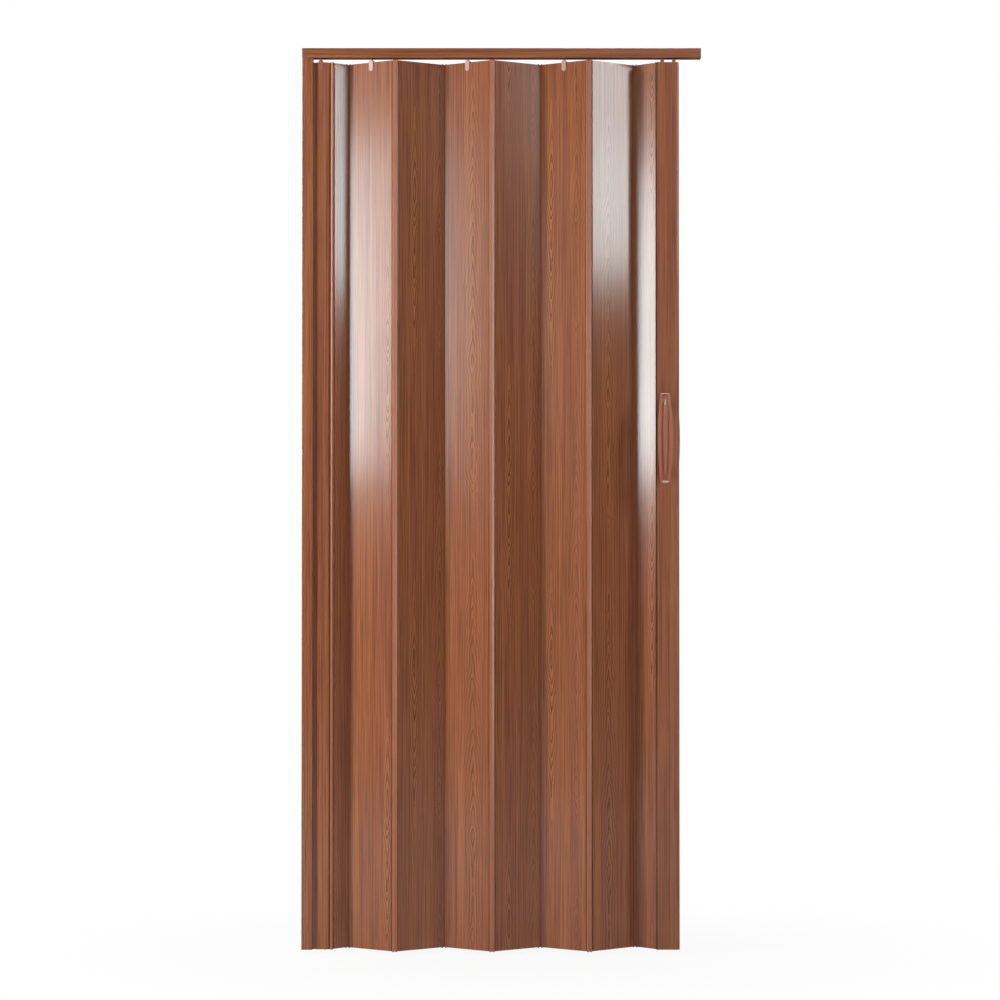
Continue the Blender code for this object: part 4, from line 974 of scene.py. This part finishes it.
class DOOR_OT_handles(bpy.types.Operator):
    """Make the pull handles on both faces of the post, and their screws"""

    bl_idname = "accordion_door.handles"
    bl_label = "Handles"
    post_face = 0.008  # from the post's middle to its faces

    def execute(self, context):
        fit = context.scene.accordion_door.fittings
        handle = merged(self.plate(fit), self.foot(fit, -1.0), self.foot(fit, 1.0))
        for name, side, turn in (("handle_front", -1, math.pi), ("handle_back", 1, 0.0)):
            middle = middle_of(name)
            shell = shifted(swung(handle, turn), middle.x, side * self.post_face, middle.z)
            add_piece(name + ".grip", shell, "handle", "lead_post", smooth=50.0)
        head = 0.0018
        for node in ("screw_front_lower", "screw_front_upper", "screw_back_lower", "screw_back_upper"):
            (_, start, _), (_, end, _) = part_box(node)
            middle = middle_of(node)
            shell = laid_along_y(self.screw(fit, head, end - start - head))
            add_piece(node + ".head", shifted(shell, middle.x, end - head, middle.z), "steel", "lead_post")
        return {"FINISHED"}

    def reach(self, fit, part):
        """Distance of the handle's face from the post: a parabola along its length."""
        return fit.reach - (fit.reach - fit.end_reach) * part ** 2

    def plate(self, fit):
        """The plate: a grid of points round its section and along its length.

        Its width and reach fall off as parabolas towards the ends. Inside the rim the face drops into a groove
        and swells again as a smooth step, t * t * (3 - 2 * t), less at the ends, where straight ramps come up
        to the rim. All its edges fall away as quarter circles.
        """
        part = np.sin(np.linspace(-np.pi / 2, np.pi / 2, 141))[:, None]
        half_length, edge, end_corner = fit.handle / 2, 0.0011, 0.003
        from_end = (1.0 - np.abs(part)) * half_length
        half_width = ((fit.handle_width - (fit.handle_width - fit.handle_end) * part ** 2) / 2
                      - end_corner * self.fall(from_end / end_corner))
        # the recess: the rim round it, its ramps at the lower and upper end, and the groove round its field
        rim_from_side = fit.rim - (fit.rim - fit.rim_end) * part ** 2
        rim_from_end, ramp = 0.0035, np.where(part < 0, 0.0044, 0.0010)
        wall, groove, field = 0.0007, 0.0020, 0.0045
        groove_end, field_end, rise = 0.012, 0.02, 0.62

        def rows(turn, level, sunk):
            """Points across the plate at one level, less the rounding of its edges and the recess."""
            span = half_width * turn[None, :]
            fallen = edge * self.fall(np.minimum(half_width - np.abs(span), from_end) / edge)
            inside = half_width - rim_from_side - np.abs(span)
            down = np.clip(inside / wall, 0.0, 1.0) * np.clip((from_end - rim_from_end) / ramp, 0.0, 1.0)
            swell = (np.clip((inside - groove) / field, 0.0, 1.0)
                     * np.clip((from_end - groove_end) / field_end, 0.0, 1.0))
            sink = fit.recess * down * (1.0 - rise * swell ** 2 * (3 - 2 * swell))
            depth = level + np.where(sunk, -fallen - sink, fallen)
            return np.stack([-span, depth, np.broadcast_to(part * half_length, span.shape)], axis=-1)

        face = self.reach(fit, part)
        front = rows(np.sin(np.linspace(-np.pi / 2, np.pi / 2, 97)), face, True)
        rear = rows(np.sin(np.linspace(np.pi / 2, -np.pi / 2, 17)), face - fit.plate, False)
        return shell_of(np.concatenate([front, rear], axis=1))

    def fall(self, part):
        """How far a quarter circle of radius one has fallen at a part of the way in from its edge."""
        return 1.0 - np.sqrt(1.0 - (1.0 - np.clip(part, 0.0, 1.0)) ** 2)

    def foot(self, fit, side):
        """A foot: rounded rectangles that shrink from the post towards the plate, as a cube of the way."""
        rings, centre = [], side * fit.foot
        for step in np.linspace(1.0, 0.0, 9):
            flare = (1 - step) ** 3 * 0.0015
            x, z = 0.006 + flare, 0.011 + flare
            section = rounded(-x, x, -z, z, 0.0025, 18) + (0.0, centre)
            plate = self.reach(fit, section[:, 1] / (fit.handle / 2)) - fit.plate + 0.001
            rings.append(np.column_stack([section[:, 0], GAP + (plate - GAP) * step, section[:, 1]]))
        return shell_of(np.array(rings))

    def screw(self, fit, head, shank_length):
        """A pan-head screw: the height falls off as a dome, less a cross-shaped recess, over a polar grid."""
        radius, shank, tip, sides = fit.screw, 0.0016, 0.0001, 48
        arm_length, arm_width, depth = 0.0017, 0.00042, 0.0009
        angle = np.linspace(0, 2 * np.pi, sides, endpoint=False)
        r = np.linspace(1.0, 0.03, 17) * radius
        top = carried_round(np.column_stack([r, head * (1.0 - 0.65 * (r / radius) ** 4)]), angle)
        x, y = np.abs(top[..., 0]), np.abs(top[..., 1])
        arm = np.minimum(np.maximum(x / arm_length, y / arm_width), np.maximum(y / arm_length, x / arm_width))
        top[..., 2] -= depth * np.clip((1.15 - arm) / 0.3, 0.0, 1.0)
        below = carried_round([(tip, -shank_length), (shank, shank - shank_length), (shank, 0.0),
                               (radius, 0.0)], angle)
        return shell_of(np.concatenate([below, top]))


# ---------------------------------------------------------------- studio


# Lamps that stand over each other: the azimuths of their sides in degrees to the right of straight ahead and
# their distance, then for each the heights of its ends and its watts for each square metre
LAMPS = {(-72, -66, 3.0): [(0.90, 1.15, 45), (1.15, 1.50, 100), (1.50, 2.00, 140), (2.00, 2.30, 185),
                           (2.30, 2.60, 96)],
         (-66, -60, 3.0): [(1.15, 1.50, 78), (1.50, 2.00, 60), (2.00, 2.30, 44)],
         (-60, -56, 3.0): [(1.15, 1.50, 9.5), (1.50, 2.30, 20), (2.30, 2.60, 3.6)],
         (54, 59, 3.0): [(2.30, 2.70, 5.6), (2.70, 3.10, 12)],
         (59, 63, 3.0): [(1.84, 2.30, 26), (2.30, 2.70, 36)],
         (63, 68, 3.0): [(1.84, 2.30, 56), (2.30, 2.70, 38)], (68, 74, 3.0): [(2.70, 3.10, 166)],
         (-28, -14, 4.5): [(1.20, 3.20, 3.2)], (16, 20, 5.2): [(0.00, 2.80, 46)]}
# One more, which tilts down by this angle and is seen in reflections only
OVERHEAD_LAMP, OVERHEAD_TILT = (5, 25, 2.05, 3.00, 3.50, 200), math.radians(45)
CAMERA_PLACE = (-0.0036, -5.005, 0.947)


def softbox(name, left, right, distance, low, high, strength):
    """A rectangular lamp that stands upright and faces the door."""
    angle = math.radians((left + right) / 2)
    lamp = bpy.data.lights.new(name, "AREA")
    lamp.shape = "RECTANGLE"
    lamp.size = 2 * distance * math.tan(math.radians((right - left) / 2))
    lamp.size_y = high - low
    lamp.energy = strength * lamp.size * lamp.size_y
    holder = placed(name, lamp)
    holder.location = (distance * math.sin(angle), -distance * math.cos(angle), (low + high) / 2)
    holder.rotation_euler = (math.pi / 2, 0.0, angle)
    return holder


class DOOR_OT_studio(bpy.types.Operator):
    """Set up the floor, the lamps, the white surroundings and the camera"""

    bl_idname = "accordion_door.studio"
    bl_label = "Studio"

    def execute(self, context):
        settings, scene = context.scene.accordion_door.studio, context.scene
        scene.view_settings.view_transform = "Standard"
        self.floor(settings)
        self.surroundings(scene, settings)
        stack = [(*place, *lamp) for place, lamps in LAMPS.items() for lamp in lamps]
        for number, lamp in enumerate(stack, 1):
            softbox(f"lamp_{number}", *lamp)
        overhead = softbox("overhead_lamp", *OVERHEAD_LAMP)
        overhead.rotation_euler.x -= OVERHEAD_TILT
        overhead.visible_diffuse = False
        camera = bpy.data.cameras.new("camera")
        camera.lens, camera.sensor_width, camera.clip_end = settings.lens, 36.0, 60.0
        scene.camera = placed("camera", camera)
        scene.camera.location = CAMERA_PLACE
        scene.camera.rotation_euler = (math.pi / 2 + settings.pitch, 0.0, 0.0)
        return {"FINISHED"}

    def floor(self, settings):
        """A flat square under the door."""
        half, level = settings.floor_size / 2, -settings.floor_drop
        mesh = bpy.data.meshes.new("floor")
        mesh.from_pydata([(x * half, y * half, level) for x, y in ((-1, -1), (1, -1), (1, 1), (-1, 1))], [],
                         [(0, 1, 2, 3)])
        mesh.materials.append(pale_floor())
        placed("floor", mesh)

    def surroundings(self, scene, settings):
        """White where the camera looks and behind the door, and a dim even studio elsewhere."""
        finish = Finish("studio", "worlds")
        scene.world = finish.owner
        white_rays, behind, _, _ = finish.white_rays(finish.node("TexCoord", {}, {}, "Generated"))
        grey = finish.blend(behind, (settings.front,) * 3, (settings.ambient,) * 3)
        tone = finish.blend(white_rays, grey, (1.0, 1.0, 1.0))
        shade = finish.node("Background", {}, {"Color": tone, "Strength": 1.0})
        finish.node("OutputWorld", {}, {"Surface": shade})


# ---------------------------------------------------------------- add-on


class DoorSettings(bpy.types.PropertyGroup):
    """All that the user may change."""

    sizes: PointerProperty(name="Sizes", description="Sections of the door", type=DoorSizes)
    fittings: PointerProperty(name="Fittings", description="Rollers, clips and handles", type=FittingSizes)
    colours: PointerProperty(name="Colours", description="Finishes of the door", type=DoorColours)
    studio: PointerProperty(name="Studio", description="Camera, floor and light", type=StudioSettings)


class DOOR_PT_sidebar(bpy.types.Panel):
    """The door's operators and settings"""

    bl_idname = "DOOR_PT_sidebar"
    bl_label = "Accordion Door"
    bl_space_type = "VIEW_3D"
    bl_region_type = "UI"
    bl_category = "Accordion Door"

    def draw(self, context):
        settings = context.scene.accordion_door
        for operator in OPERATORS:
            self.layout.operator(operator.bl_idname)
        for group in (settings.sizes, settings.fittings, settings.colours, settings.studio):
            box = self.layout.box()
            for name in group.__annotations__:
                box.prop(group, name)


OPERATORS = (DOOR_OT_fixed, DOOR_OT_panels, DOOR_OT_strips, DOOR_OT_post, DOOR_OT_hangers, DOOR_OT_handles,
             DOOR_OT_studio)
CLASSES = (DoorSizes, FittingSizes, DoorColours, StudioSettings, DoorSettings, *OPERATORS, DOOR_PT_sidebar)


def register():
    """Add the classes and the scene's settings."""
    for item in CLASSES:
        bpy.utils.register_class(item)
    bpy.types.Scene.accordion_door = PointerProperty(type=DoorSettings)


def unregister():
    """Take the classes and the settings away again."""
    del bpy.types.Scene.accordion_door
    for item in reversed(CLASSES):
        bpy.utils.unregister_class(item)


def main():
    """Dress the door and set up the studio."""
    register()
    for operator in OPERATORS:
        group, name = operator.bl_idname.split(".")
        getattr(getattr(bpy.ops, group), name)()


if __name__ == "__main__":
    main()
